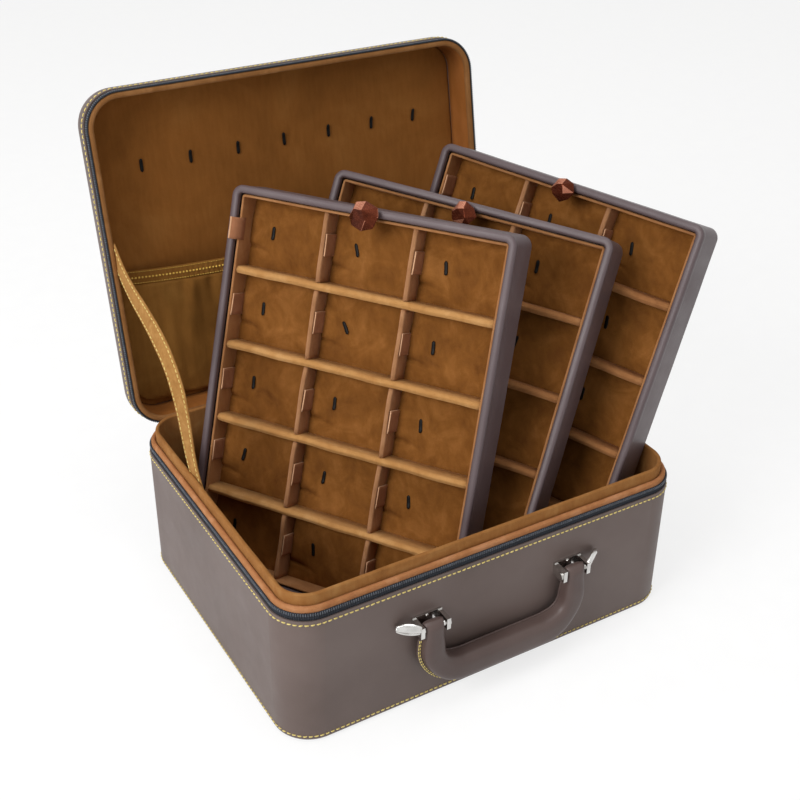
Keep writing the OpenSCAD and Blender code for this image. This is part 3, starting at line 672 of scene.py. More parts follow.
def hinge_leather():
    """A soft strip that follows the back wall, bends under the hinge and follows the open lid."""
    leg, thick = 20 * MM, 1.2 * MM
    low = [(HINGE_Y, z) for z in (UPPER_STITCH_Z - leg, MEET_Z - 9 * MM, MEET_Z - 3 * MM)]
    high = [opened([0, HINGE_Y, MEET_Z + h])[1:] for h in (4 * MM, 9 * MM, 7 * MM + leg)]
    bends = np.array([*low, *high])
    t, knots = np.linspace(0, 1, 26), np.linspace(0, 1, len(bends))
    line = read_off(t, knots, bends)
    for _ in range(3):
        line[1:-1] = (line[:-2] + 2 * line[1:-1] + line[2:]) / 4
    way = unit(np.gradient(line, axis=0))
    outward = np.stack([way[:, 1], -way[:, 0]], 1)
    xs = np.linspace(-HINGE_W / 2, HINGE_W / 2, 40)
    layers = [np.array([[(x, *p) for p in line + outward * off] for x in xs]) for off in (0.0, thick)]
    strip = shell_grid("hinge_leather", *layers, LEATHER)
    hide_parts("hinge_strip")
    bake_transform(strip)


# Lid
def build_lid():
    dress("lid_shell", LEATHER, 0.5 * MM)
    wall, bend = LINING_INSET, LID_TOP - LID_EDGE_R
    section = [
        (2.6 * MM, MEET_Z + 5 * MM), (wall - 0.8 * MM, MEET_Z + 4.9 * MM), (wall, MEET_Z + 5.8 * MM),
        (wall, bend), (wall + 0.3 * MM, bend + 6 * MM), (wall + 1 * MM, PANEL_Z - 4 * MM),
        (PANEL_INSET, PANEL_Z - 0.2 * MM), (4 * MM, PANEL_Z - 0.5 * MM), (2.6 * MM, bend),
    ]
    sway = waves(11, 0.2 * MM, 0.23, 0.12)
    lining = sweep("lid_wall_velvet", STEPS, CASE, section, VELVET, opened, wobble=sway)
    stand_for(lining, "lid", "velvet", "lid_wall_lining")
    section = rounded_bar(2.05 * MM, MEET_Z, 7.3 * MM, MEET_Z + 4.8 * MM, 2.0 * MM, 6)
    sway = waves(12, 0.12 * MM, 0.2, 0.07)
    piping = sweep("lid_piping_roll", STEPS, CASE, section, VELVET_BAND, opened, wobble=sway)
    stand_for(piping, "lid", "velvet_light", "lid_piping")
    panel_pad()
    level, gap = MEET_Z + ZIP_H + 3.5 * MM, HINGE_W + 8 * MM
    stitches = stitch_row("lid_stitching", level, seed=13, carry=opened, gap=gap)
    stand_for(stitches, "lid", "thread", "lid_stitching")
    zip_half("lid", opened, MEET_Z, MEET_Z + ZIP_H, MEET_Z + TEETH_OFF)
    middle = (HOOK_COUNT - 1) / 2
    places = [((k - middle) * HOOK_PITCH, HOOK_ROW_Y, HOOK_TILTS[k] / 4) for k in range(HOOK_COUNT)]
    hooks = slit_hooks("lid_hooks_black", places, PANEL_Z, -1, opened)
    stand_for(hooks, "lid", "hook_black", "lid_hooks")


def panel_pad():
    """The covered panel: nearly flat, and rounded down at its rim."""
    inset = PANEL_INSET - 0.4 * MM
    end, r = CASE_D / 2 - inset, CORNER_R - inset
    u, v = np.meshgrid(*(np.sin(np.linspace(-1, 1, count) * math.pi / 2) for count in (90, 70)))
    y = v * end
    reach = CASE_W / 2 - inset - r + np.sqrt(np.maximum(r**2 - np.maximum(0, np.abs(y) - end + r) ** 2, 0))
    x = u * reach
    edge = np.minimum(reach - np.abs(x), end - np.abs(y))
    drop = 1.2 * MM * np.exp(-edge / (0.7 * MM)) + 0.1 * MM * (1 + np.sin(41 * x + 1) * np.cos(53 * y))
    front = np.stack([x, y, PANEL_Z + drop], 2)
    back = np.stack([x * 0.985, y * 0.985, np.full(x.shape, PANEL_Z + 2.9 * MM)], 2)
    panel = shell_grid("lid_panel_velvet", opened(front), opened(back), VELVET_DEEP)
    stand_for(panel, "lid", "velvet", "lid_panel")


def slit_hook(x, y, tilt, level, up):
    """One short flat strip with rounded ends, bent up off the velvet at its lower end."""
    ring = [(-1, -0.4), (-1, 0.5), (-0.7, 1.0), (0.7, 1.0), (1, 0.5), (1, -0.4)]
    c, s = math.cos(math.radians(tilt)), math.sin(math.radians(tilt))
    verts, steps = [], np.linspace(-1, 1, 13)
    for u in steps:
        taper = math.sqrt(max(1 - abs(u) ** 8, 0.03))
        lift = (0.9 + 1.1 * max(0.0, -u - 0.2)) * MM
        for across, high in ring:
            px, py = across * HOOK_W / 2 * taper, u * HOOK_L / 2
            off = lift + 0.45 * MM * high * taper
            verts.append((x + px * c - py * s, y + px * s + py * c, level + up * off))
    return verts, tube_faces(len(steps), len(ring))


def slit_hooks(name, places, level, up, carry):
    hooks = [slit_hook(*place, level, up) for place in places]
    return mesh_object(name, *carried(hooks, carry), HOOK_BLACK)


# Pocket in the lid
POCKET_HALF = CASE_W / 2 - PANEL_INSET - 4 * MM
POCKET_END = CASE_D / 2 - PANEL_INSET - 5 * MM
POCKET_OFF = 13 * MM
POCKET_FOLDS = 22
POCKET_SHEET = 1.5 * MM
POCKET_TOP = POCKET_Y + BAND_H
POCKET_STEPS = 330


def pocket_lift(s, t):
    """How far the pocket's cloth stands off the panel, across from -1 to 1 and down from 0 to 1."""
    belly = POCKET_OFF * np.maximum(0, 1 - np.abs(s) ** 3) ** 0.8 * (1 - 0.72 * t**1.6)
    fold = (1 - np.abs(s) ** 6) * np.sin(t * math.pi) * (0.5 - 0.3 * t)
    fold *= np.cos(s * math.pi * POCKET_FOLDS / 2)
    return belly + 1.5 * MM * fold + 0.1 * MM


def pocket_reach(y):
    """Half-width of the pocket at a depth, with its lower corners rounded like the lid's."""
    r = CORNER_R - PANEL_INSET - 4 * MM
    return POCKET_HALF - r + np.sqrt(np.maximum(r**2 - np.maximum(0, y - POCKET_END + r) ** 2, 0))


def mouth_rise(s):
    """The mouth is drawn up towards its two ends."""
    return -6.5 * MM * s**2


def build_pocket():
    """Gathered velvet, held along its mouth by a flat elastic band with three rows of stitches."""
    pocket_cloth()
    pocket_band()
    pocket_stitches()


def pocket_cloth():
    """The cloth's pleats are deepest at the mouth and fade below it."""
    rng = np.random.default_rng(SEED + 21)
    s, t = np.meshgrid(np.linspace(-1, 1, POCKET_STEPS), np.linspace(0, 1, 34))
    phase, reach = rng.uniform(0, 6.28, 10), rng.uniform(0.2, 1.0, 10)
    pleat = sum(
        r * np.cos(s * math.pi * (6 + 2.6 * k) + p + 1.4 * np.sin(2.2 * t + p))
        for k, (p, r) in enumerate(zip(phase, reach))
    )
    mouth = np.exp(-((t / 0.33) ** 2))
    ruffle = 0.95 * MM * pleat * (1 - np.abs(s) ** 8) * (0.3 + 0.7 * mouth) * np.clip(t / 0.05, 0, 1)
    lift = np.maximum(pocket_lift(s, t) + ruffle, 0.3 * MM)
    y = POCKET_TOP + (POCKET_END - POCKET_TOP) * t + mouth_rise(s) * (1 - t)
    x = s * pocket_reach(y)
    outer, inner = (opened(np.stack([x, y, PANEL_Z - lift - thick], 2)) for thick in (POCKET_SHEET, 0))
    cloth = shell_grid("lid_pocket_cloth", outer, inner, POCKET_VELVET)
    stand_for(cloth, "lid", "velvet", "lid_pocket")


def pocket_band():
    """The elastic band is as long as the mouth and finely crimped."""
    s, down = np.meshgrid(np.linspace(-1, 1, POCKET_STEPS), np.linspace(0, 1, 9))
    crimp = 0.22 * MM * np.cos(s * math.pi * 74) * (1 - np.abs(s) ** 8)
    z = PANEL_Z - pocket_lift(s, 0 * s) - crimp
    y = POCKET_Y + down * (BAND_H - 0.1 * MM) + mouth_rise(s)
    thick = POCKET_SHEET + 0.35 * MM * np.sin(down * math.pi)
    front, rear = (opened(np.stack([s * POCKET_HALF, y, z - off], 2)) for off in (thick, 0))
    band = shell_grid("pocket_band_cloth", front, rear, POCKET_VELVET)
    stand_for(band, "lid", "velvet_light", "pocket_band")


def pocket_stitches():
    s = np.linspace(-0.985, 0.985, 400)
    z = PANEL_Z - pocket_lift(s, 0 * s) - POCKET_SHEET - 0.45 * MM
    out = np.repeat(opened([[0, 0, -1]]) - opened([[0, 0, 0]]), len(s), 0)
    # Each row's name, place down the band, thread radius and pitch, the last two in mm
    rows = (("bold", 0.5, 0.85, 3.1), ("fine", 0.88, 0.34, 2.4), ("hem", 0.09, 0.25, 2.4))
    for label, at, radius, pitch in rows:
        path = opened(np.stack([s * POCKET_HALF, POCKET_Y + at * BAND_H + mouth_rise(s), z], 1))
        length = pitch * 0.72 * MM
        name = f"pocket_stitches_{label}"
        row = line_beads(name, path, out, pitch * MM, length, radius * MM, THREAD_GOLD, seed=22)
        stand_for(row, "lid", "thread")


# Stay strap
STRAP_W = 16 * MM
STRAP_T = 1.6 * MM
STRAP_TURN = math.radians(-24)
# Its middle line from the lid down to the base, in mm: x from the case's left side, y and z from the hinge
STRAP_STEPS = [
    (7.85, 37.5, 165), (7.85, 19.5, 149), (8, -2.5, 138), (8.4, -26.5, 130), (8.9, -50.5, 120),
    (9.4, -70.5, 107), (9.8, -84.5, 90), (10.2, -92.5, 70), (10.7, -96.5, 48), (11.1, -100.5, 27),
    (11.1, -108.5, 11), (11.1, -120.5, -1), (11.1, -136.5, -11),
]


def smooth_line(points, count):
    """Evenly spaced points along a smooth curve through the given ones."""
    knots = run_along(points)
    slope = np.gradient(points, knots, axis=0)
    fine = np.linspace(0, knots[-1], 400)
    i = np.clip(np.searchsorted(knots, fine, side="right") - 1, 0, len(points) - 2)
    h = (knots[i + 1] - knots[i])[:, None]
    u = (fine - knots[i])[:, None] / h
    curve = points[i] + (points[i + 1] - points[i]) * u**2 * (3 - 2 * u)
    curve += h * u * (1 - u) * ((1 - u) * slope[i] - u * slope[i + 1])
    run = run_along(curve)
    return read_off(np.linspace(0, run[-1], count), run, curve)


def build_strap():
    """A flat strap that twists a little on its way and puffs up between its two rows of stitches."""
    line = smooth_line(np.array(STRAP_STEPS) * MM + (-CASE_W / 2, HINGE_Y, HINGE_Z), 90)
    flat = unit(np.gradient(line, axis=0) * (0, 1, 1))
    across = np.stack([np.zeros(len(line)), -flat[:, 2], flat[:, 1]], 1)
    facing = np.tile([1.0, 0, 0], (len(line), 1))
    share = np.linspace(0, 1, len(line))[:, None]
    turn = STRAP_TURN * np.clip(share / 0.4, 0, 1) * np.clip((0.97 - share) / 0.4, 0, 1)
    c, s = np.cos(turn), np.sin(turn)
    across, facing = across * c + facing * s, facing * c - across * s
    half, thick = STRAP_W / 2, STRAP_T / 2
    a, b = np.array(rounded_bar(-half, -thick, half, thick, 0.55 * MM, 2)).T[:, :, None]
    puff = 0.25 * MM * (1 - (a / half) ** 2) * np.where(b > 0, 1, -0.2)
    verts = line[:, None] + across[:, None] * a + facing[:, None] * (b + puff)
    faces = flipped(tube_faces(*verts.shape[:2]))
    strap = mesh_object("stay_strap_velvet", verts.reshape(-1, 3), faces, VELVET_STRAP)
    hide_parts("stay_strap")
    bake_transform(strap)
    rows = []
    for side in (-1, 1):
        for face in (-1, 1):
            path = line + across * side * (half - 2.0 * MM) + facing * face * (thick + 0.12 * MM)
            name, out = f"strap_row_{side}_{face}", facing[1:-1] * face
            rows.append(line_beads(name, path[1:-1], out, 4.4 * MM, 3.4 * MM, 0.42 * MM, THREAD, seed=31))
    stitches = join("stay_strap_stitches", rows)
    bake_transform(stitches)


# Handle
LEG_X = 69 * MM
GRIP_BEND = 30 * MM
GRIP_MID_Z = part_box("handle_grip")[0].z + 10.3 * MM
pin_lo, pin_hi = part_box("pin_left")
PIN_Y, PIN_Z = (pin_lo.y + pin_hi.y) / 2, (pin_lo.z + pin_hi.z) / 2
EYE_R = 6.6 * MM
ARM_OUTER = 13.7 * MM
EAR_L, EAR_H = 21 * MM, 11 * MM
# Half width and half depth of the grip at its ends, and what the leg and then the bar add
GRIP_WIDE = (8.5 * MM, np.array([1.6, 2.0]) * MM)
GRIP_DEEP = (6.8 * MM, np.array([1.2, 1.8]) * MM)
# Reach and half thickness of the two strips beside the grip
WELT = (1.0 * MM, 0.8 * MM)
FLANGE = (2.4 * MM, 1.3 * MM)


def grip_line():
    """Middle line of the handle in x and z, from the left pin round to the right one."""
    elbow_x, elbow_z = LEG_X - GRIP_BEND, GRIP_MID_Z + GRIP_BEND
    left = [(-LEG_X, z) for z in np.linspace(PIN_Z + EYE_R * 0.98, elbow_z, 16, endpoint=False)]
    for a in np.linspace(0, math.pi / 2, 18, endpoint=False):
        left.append((-elbow_x - GRIP_BEND * math.cos(a), elbow_z - GRIP_BEND * math.sin(a)))
    left += [(x, GRIP_MID_Z) for x in np.linspace(-elbow_x, 0, 15, endpoint=False)]
    return np.concatenate([left, [[0, GRIP_MID_Z]], np.array(left)[::-1] * (-1, 1)])


def grip_sections(line):
    """Half width and half depth of the grip along its line: slim legs and a full middle."""
    run = run_along(line)
    share = np.abs(run / run[-1] * 2 - 1)
    leg, bar = (np.clip((start - share) / run_in, 0, 1) for start, run_in in ((0.93, 0.2), (0.62, 0.22)))
    leg, bar = (f * f * (3 - 2 * f) for f in (leg, bar))
    width, depth = (least + more @ (leg, bar) for least, more in (GRIP_WIDE, GRIP_DEEP))
    rise = line[:, 1] - PIN_Z
    eye = np.sqrt(np.maximum(EYE_R**2 - np.maximum(rise, 0) ** 2, (0.6 * MM) ** 2))
    depth = np.where(rise > -4 * MM, np.minimum(depth, eye + np.maximum(-rise, 0) * 0.05), depth)
    return width, depth, run


def edge_strip(path, out, reach, thick):
    """A rounded strip along a path: it reaches out along out, and its thickness lies along y."""
    turn = np.arange(16) * math.pi / 8
    a, b = (np.sign(f) * np.abs(f) ** 0.6 for f in (np.cos(turn), np.sin(turn)))
    section = out[:, None] * (a * reach)[None, :, None] + np.array([0, 1.0, 0]) * (b * thick)[None, :, None]
    return (path[:, None] + section).reshape(-1, 3), tube_faces(len(path), len(turn))


def build_handle():
    line = grip_line()
    width, depth, run = grip_sections(line)
    way = unit(np.gradient(line, axis=0))
    inward = np.stack([-way[:, 1], way[:, 0]], 1)
    build_grip(line, width, depth, run, inward)
    below = line[:, 1] < PIN_Z - 9 * MM
    level = np.zeros(len(line))
    inner = np.stack([inward[:, 0], level, inward[:, 1]], 1)[below]
    middle = np.stack([line[:, 0], level + PIN_Y, line[:, 1]], 1)[below]
    wide, deep = width[below, None], depth[below, None]
    to_case = np.array([[0, 1.0, 0]])
    welt = edge_strip(middle + inner * wide * 0.95 + to_case * deep * 0.62, inner, *WELT)
    flange = edge_strip(middle - inner * (wide + 0.6 * MM) + to_case * 2.6 * MM, inner, *FLANGE)
    strips = mesh_object("handle_grip_flange", *gather([welt, flange]), LEATHER_GRIP)
    stand_for(strips, "handle", "leather")
    rows, out = [], np.repeat(-to_case, len(middle), 0)
    for k, off in enumerate((0.9 * MM, 2.2 * MM)):
        path = middle - inner * (wide + off) + to_case * 1.2 * MM
        name = f"grip_row_{k}"
        rows.append(line_beads(name, path, out, 3.6 * MM, 2.9 * MM, 0.45 * MM, THREAD, seed=42 + k))
    stand_for(join("handle_stitches", rows), "handle", "thread", "handle_stitching")
    for side in ("left", "right"):
        dress(f"bracket_{side}", CHROME, 0.9 * MM, 3)
        dress(f"pin_{side}", CHROME, 0.3 * MM, 3)
        bracket_ear(side)
    dress("bracket_screws", CHROME, 0.2 * MM)


def build_grip(line, width, depth, run, inward):
    """The padded leather bail: squarish across, flatter towards the case, and faintly creased in front."""
    angle = np.arange(72) * 2 * math.pi / 72
    # across is +1 on the inner side of the bend, back is +1 towards the case
    across, back = np.cos(angle), np.sin(angle)
    squared = np.sign(across) * np.abs(across) ** 0.66
    flatter = np.sign(back) * np.abs(back) ** np.where(back > 0, 0.5, 0.72)
    fade = np.clip((PIN_Z - 8 * MM - line[:, 1]) / (6 * MM), 0, 1)
    crease = waves(41, 0.18 * MM, 0.061, 0.027)(run) * fade
    off = width[:, None] * squared
    y = PIN_Y + depth[:, None] * flatter - crease[:, None] * np.maximum(-back, 0)
    verts = np.stack([line[:, :1] + inward[:, :1] * off, y, line[:, 1:] + inward[:, 1:] * off], 2)
    faces = tube_faces(*verts.shape[:2])
    grip = mesh_object("handle_grip_padded", verts.reshape(-1, 3), faces, LEATHER_GRIP)
    stand_for(grip, "handle", "leather", "handle_grip")


def bracket_ear(side):
    """A polished leaf, from the outer arm's end back to the case, with a rolled upper rim."""
    lo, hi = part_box(f"bracket_{side}")
    sign = -1 if side == "left" else 1
    # The long edges are those of a lens longer than the leaf, whose ends are round
    long = 1.4 * EAR_L
    curve = (long**2 + EAR_H**2) / (4 * EAR_H)
    root = np.array([sign * (LEG_X + ARM_OUTER - 2 * MM), lo.y + 1.5 * MM, hi.z - EAR_H / 2])
    slope = math.asin((-CASE_D / 2 - 2 * MM - root[1]) / EAR_L)
    ahead = np.array([sign * math.cos(slope), math.sin(slope), 0.0])
    out = np.array([sign * math.sin(slope), -math.cos(slope), 0.0])
    x = (0.5 - 0.5 * np.cos(np.linspace(0, math.pi, 27)))[:, None] * EAR_L
    lens = np.sqrt(curve**2 - (x - EAR_L / 2) ** 2) - curve + EAR_H / 2
    ends = np.sqrt(np.maximum(0.0, (EAR_L / 2) ** 2 - (x - EAR_L / 2) ** 2))
    half = np.maximum(np.minimum(lens, ends), 0.2 * MM) + 0.3 * MM
    angle = np.arange(48) * 2 * math.pi / 48
    v, front = np.cos(angle), np.sin(angle)
    relief = 2.3 * np.exp(-(((v - 0.84) / 0.16) ** 2)) + 1.3 * np.exp(-(((v + 0.2) / 0.42) ** 2)) - 0.15
    thick = 1.05 * MM + np.where(front > 0, relief, 0) * MM * np.minimum(1, half / (3 * MM))
    verts = root + x[:, :, None] * ahead + (thick * front)[:, :, None] * out
    verts += (half * v)[:, :, None] * (0, 0, 1)
    faces = tube_faces(*verts.shape[:2])
    faces = flipped(faces) if sign > 0 else faces
    stand_for(mesh_object(f"bracket_{side}_ear", verts.reshape(-1, 3), faces, CHROME), "base", "chrome")


def zip_sliders():
    for side in ("left", "right"):
        dress(f"slider_{side}", CHROME, 0.35 * MM)
        dress(f"pull_{side}", CHROME, 0.3 * MM)


# Trays
def cell_x(c):
    return EDGE + c * (CELL_W + COL_T)


def cell_y(r):
    return -EDGE - r * (CELL_L + ROW_T)


def bar_section(t, low, high, soft):
    """A padded bar's outline across: straight sides, soft corners and a gently crowned top."""
    half, crown = t / 2, 0.7 * MM
    right = arc(0.86 * half - soft, high - soft - crown, soft, 80, 0)
    left = [(-a, b) for a, b in reversed(right)]
    return [(-half, low), *left, (0.0, high), *right, (half, low)]


def bar_mesh(x0, x1, y, t, low, high, seed, turned=False):
    """One padded bar along x, or along y where it is turned."""
    n = max(10, int((x1 - x0) / (4 * MM)))
    s = np.linspace(x0, x1, n)
    sag = waves(seed, 0.35 * MM, 0.11, 0.047)(s)
    lean = waves(seed + 1, 0.3 * MM, 0.09, 0.05)(s)
    outline = bar_section(t, low, high, t * 0.38)
    verts = []
    for i, v in enumerate(s):
        round_off = (0.8 * MM, 0.25 * MM, 0.0)[min(i, n - 1 - i, 2)]
        for a, b in outline:
            z = b if b <= low else b + sag[i] - round_off
            off = y + a + (lean[i] if b > low else 0)
            verts.append((off, v, z) if turned else (v, off, z))
    faces = tube_faces(n, len(outline))
    return verts, faces if turned else flipped(faces)


def cell_pad(c, r, seed):
    """One cell's padded floor: a low crown, soft unevenness, and a puff by the tab that ends in a groove."""
    nx, ny = 36, 40
    rng = np.random.default_rng(SEED + seed)
    u, v = np.meshgrid(np.linspace(0, 1, nx), np.linspace(0, 1, ny))
    from_tab = u * CELL_W
    edge = np.minimum(np.minimum(u, 1 - u) * CELL_W, np.minimum(v, 1 - v) * CELL_L)
    crown = 1.0 * MM * (1 - np.exp(-edge / (5 * MM)))
    p = rng.uniform(0, 6.28, 4)
    ripple = 0.3 * MM * (np.sin(7 * u + p[0]) * np.cos(5 * v + p[1]) + 0.5 * np.sin(13 * u * v + p[2]))
    across = (from_tab - 8 * MM) / ((9 + rng.uniform(-1, 1)) * MM)
    down = (v - TAB_AT - 0.02 * math.sin(p[3])) * CELL_L / (13 * MM)
    puff = PUFF * np.exp(-np.abs(across) ** 3) / (1 + np.exp(9 * (np.abs(down) - 1)))
    bent = down - 1.18 - 0.25 * (from_tab / (20 * MM)) ** 2
    groove = GROOVE * np.exp(-((bent / 0.11) ** 2) - ((from_tab - 8 * MM) / (12 * MM)) ** 2)
    z = CELL_FLOOR + 0.3 * MM + crown + ripple * (edge > 1 * MM) + puff - groove
    verts = np.stack([cell_x(c) + from_tab, cell_y(r) - v * CELL_L, z], 2).reshape(-1, 3).tolist()
    corners = [j * nx + i for j in range(ny - 1) for i in range(nx - 1)]
    return verts, [(a, a + nx, a + nx + 1, a + 1) for a in corners]


# The folded tab's upper and under side, in mm out from the cell's wall and up from the rim's top
FOLD_OVER = [(-8.2, 0.3), (-7.6, 1.0), (-6.0, 1.3), (-3.0, 0.5), (-1.0, -2.4), (0.5, -6.0), (0.9, -11.0)]
FOLD_UNDER = [(-8.0, -0.2), (-7.2, 0.1), (-5.9, 0.3), (-3.4, -0.6), (-1.7, -3.2), (0.0, -6.4), (0.0, -11.0)]


def tab_mesh(c, r, seed, folded=False):
    """A strip of velvet against the cell's left wall, or folded out over the rim."""
    rng = np.random.default_rng(SEED + seed)
    mid = cell_y(r) - CELL_L * TAB_AT + rng.uniform(-1, 1) * MM
    thick = (1.2 + rng.uniform(-0.15, 0.3)) * MM
    top = COL_TOP - 1.2 * MM if c else -INSERT_DROP - 1.0 * MM
    over = [
        (0.0, top - 0.9 * MM), (0.35 * thick, top), (0.9 * thick, top - 0.3 * MM), (thick, top - 1.6 * MM),
        (1.15 * thick, -13 * MM), (1.35 * thick, -19 * MM), (1.9 * thick, CELL_FLOOR + 0.8 * MM),
    ]
    under = [(0.0, h) for _, h in over]
    if folded:
        over, under = np.array(FOLD_OVER) * MM, np.array(FOLD_UNDER) * MM
    lean = rng.uniform(-0.5, 0.5) * MM
    verts = []
    for line, free in ((over, 1), (under, 0)):
        for v in np.linspace(-1, 1, TAB_ROWS):
            soft = free * 0.25 * MM * (1 - v**4)
            y, rise = mid + v * TAB_L / 2, soft * 0.5 + free * lean * v
            verts += [(cell_x(c) + a + soft, y, b + rise) for a, b in line]
    return verts, sheet_faces(TAB_ROWS, TAB_POINTS)


def tray_skin(i, carry):
    """The leather that wraps a tray: a slim flat-topped roll, the wall below it and a turned-in edge."""
    size = (TRAY_W, TRAY_L, TRAY_R)
    steps = corner_steps(*size, 7 * MM, 1.2 * MM)
    rim, low, wall = RIM_W, -TRAY_D, WALL_INSET + TRAY_WALL
    section = (
        arc(rim - 2.1 * MM, -2.1 * MM, 2.1 * MM, 90, 0)
        + arc(rim - 1.4 * MM, -4.6 * MM, 1.4 * MM, 0, -70, 4)
        + [(wall, -7 * MM), (wall, low + 0.5 * MM)]
        + arc(WALL_INSET + 1.2 * MM, low + 1.2 * MM, 1.2 * MM, -90, -180, 4)
        + [(WALL_INSET, -8 * MM), (WALL_INSET - 0.05 * MM, -6.4 * MM)]
        + arc(1.5 * MM, -4.4 * MM, 1.5 * MM, 205, 180, 3)
        + arc(2.3 * MM, -2.3 * MM, 2.3 * MM, 180, 90)
        + [(rim / 2, 0.12 * MM)]
    )
    name, sway = f"tray_{i + 1}_frame_leather", waves(70 + i, 0.1 * MM, 0.17, 0.061)
    skin = sweep(name, steps, size, section, LEATHER_TRAY, carry, centre=TRAY_MIDDLE, wobble=sway)
    inset = wall - 0.2 * MM
    outline, _ = ring_at(steps, TRAY_W - 2 * inset, TRAY_L - 2 * inset, TRAY_R - inset)
    verts, faces = slab(outline + TRAY_MIDDLE, low + 0.5 * MM, low + TRAY_BACK)
    back = mesh_object(f"tray_{i + 1}_frame_back", carry(verts), faces, LEATHER_TRAY, smooth=False)
    stand_for(join(name, [skin, back]), f"tray_{i + 1}", "leather", f"tray_{i + 1}_frame")


# Faces of a tab painted with a highlight: the strip along its upper side, then its end and its top
TAB_STRIP = 2 * (TAB_POINTS - 1)
TAB_EDGE = TAB_STRIP * (TAB_ROWS - 1)
TAB_ROUND = TAB_POINTS + TAB_ROWS - 2
PAINTED_HIGHLIGHT_FACES = {TAB_STRIP * j + 2 * i for j in range(TAB_ROWS - 1) for i in (0, 1)}
PAINTED_HIGHLIGHT_FACES |= set(range(TAB_EDGE + TAB_ROUND, TAB_EDGE + 2 * TAB_ROUND))


def build_tray(i):
    body, node, carry, seed = f"tray_{i + 1}", f"tray_{i + 1}_", tray_carrier(i), 100 * (i + 1)
    cells = [(c, r) for c in range(COLS) for r in range(ROWS)]
    tray_skin(i, carry)

    inset = RIM_W + INSERT_GAP
    size = (TRAY_W - 2 * inset, TRAY_L - 2 * inset, 3 * MM)
    steps = corner_steps(*size, 7 * MM, 0.7 * MM)
    section = rounded_bar(0.0, BOARD_TOP, INSERT_T, -INSERT_DROP, 1.1 * MM, 6)
    sway = waves(seed, 0.12 * MM, 0.19, 0.083)
    name = node + "lining_velvet"
    lining = sweep(name, steps, size, section, VELVET_EDGE, carry, centre=TRAY_MIDDLE, wobble=sway)
    stand_for(lining, body, "velvet", node + "lining")

    right, front = TRAY_W - EDGE, EDGE - TRAY_L
    outline = [(EDGE, front), (EDGE, -EDGE), (right, -EDGE), (right, front)]
    board = slab(outline, BOARD_TOP, CELL_FLOOR - 1.2 * MM)
    pads = [cell_pad(c, r, seed + 5 * r + c) for c, r in cells]
    floor = mesh_object(node + "floor_velvet", *carried([board] + pads, carry), VELVET_CELL)
    stand_for(floor, body, "velvet", node + "floor")

    low, gap = CELL_FLOOR, 0.1 * MM
    bars = [
        bar_mesh(EDGE + gap, right - gap, cell_y(r) + ROW_T / 2, ROW_T, low, ROW_TOP, seed + r)
        for r in range(1, ROWS)
    ]
    # Trays 2 and 3 take the darker copy of the row velvet: painted shade
    rows = mesh_object(node + "row_bars", *carried(bars, carry), VELVET_ROW_PAINTED_SHADE if i else VELVET_TAN)
    stand_for(rows, body, "velvet_light", node + "rows")

    bars = []
    for c, r in cells[ROWS:]:
        y, x, own = cell_y(r), cell_x(c) - COL_T / 2, seed + 10 * c + r
        bars.append(bar_mesh(y - CELL_L + gap, y - gap, x, COL_T, low, COL_TOP, own, turned=True))
    columns = mesh_object(node + "column_bars", *carried(bars, carry), VELVET_GREY)
    stand_for(columns, body, "velvet", node + "columns")

    places = [
        (cell_x(c) + 0.29 * CELL_W, cell_y(r) - TAB_AT * CELL_L, HOOK_TILTS[(k + 7 * i) % len(HOOK_TILTS)])
        for k, (c, r) in enumerate(cells)
    ]
    hooks = slit_hooks(node + "hooks_black", places, CELL_FLOOR + 1.0 * MM, 1, carry)
    stand_for(hooks, body, "hook_black", node + "hooks")

    tabs = [tab_mesh(c, r, seed + 17 * c + r, folded=(i, c, r) == (0, 0, 0)) for c, r in cells]
    strips = mesh_object(node + "tabs_velvet", *carried(tabs, carry), VELVET_TAB)
    # The tab's upper side, end and top take the pale velvet: a painted highlight
    strips.data.materials.append(VELVET_PAINTED_HIGHLIGHT)
    for k, face in enumerate(strips.data.polygons):
        face.material_index = int(k % (TAB_EDGE + 2 * TAB_ROUND) in PAINTED_HIGHLIGHT_FACES)
    stand_for(strips, body, "velvet_light", node + "tabs")
    build_ribbon(i, carry)


# A knot's corners: across, down and out from the rim, as shares of its half sizes
KNOT = [
    (-1.0, -0.15, 0.0), (-0.6, 0.8, 0.1), (0.1, 1.0, 0.2), (0.75, 0.7, 0.0), (1.0, 0.0, 0.15),
    (0.7, -0.7, 0.1), (0.0, -1.0, 0.05), (-0.7, -0.7, 0.1), (-0.45, 0.35, 0.75), (0.2, 0.45, 1.0),
    (0.35, -0.35, 0.8), (-0.7, 0.0, -0.5), (0.0, 0.7, -0.6), (0.7, 0.0, -0.5), (0.0, -0.8, -0.6),
]
KNOT_HALF = np.array([13.6, 12.6, 8.6]) * MM
# Each tray's knot: its share of the full size, and how far it hangs below the rim
KNOT_SIZES = ((1.0, 0.0), (0.86, 5 * MM), (0.82, 1 * MM))
# The way that the facets painted with a highlight face, before the tray is set up
PAINTED_HIGHLIGHT_SIDE = Vector((-0.62, 0.55, 0.56))


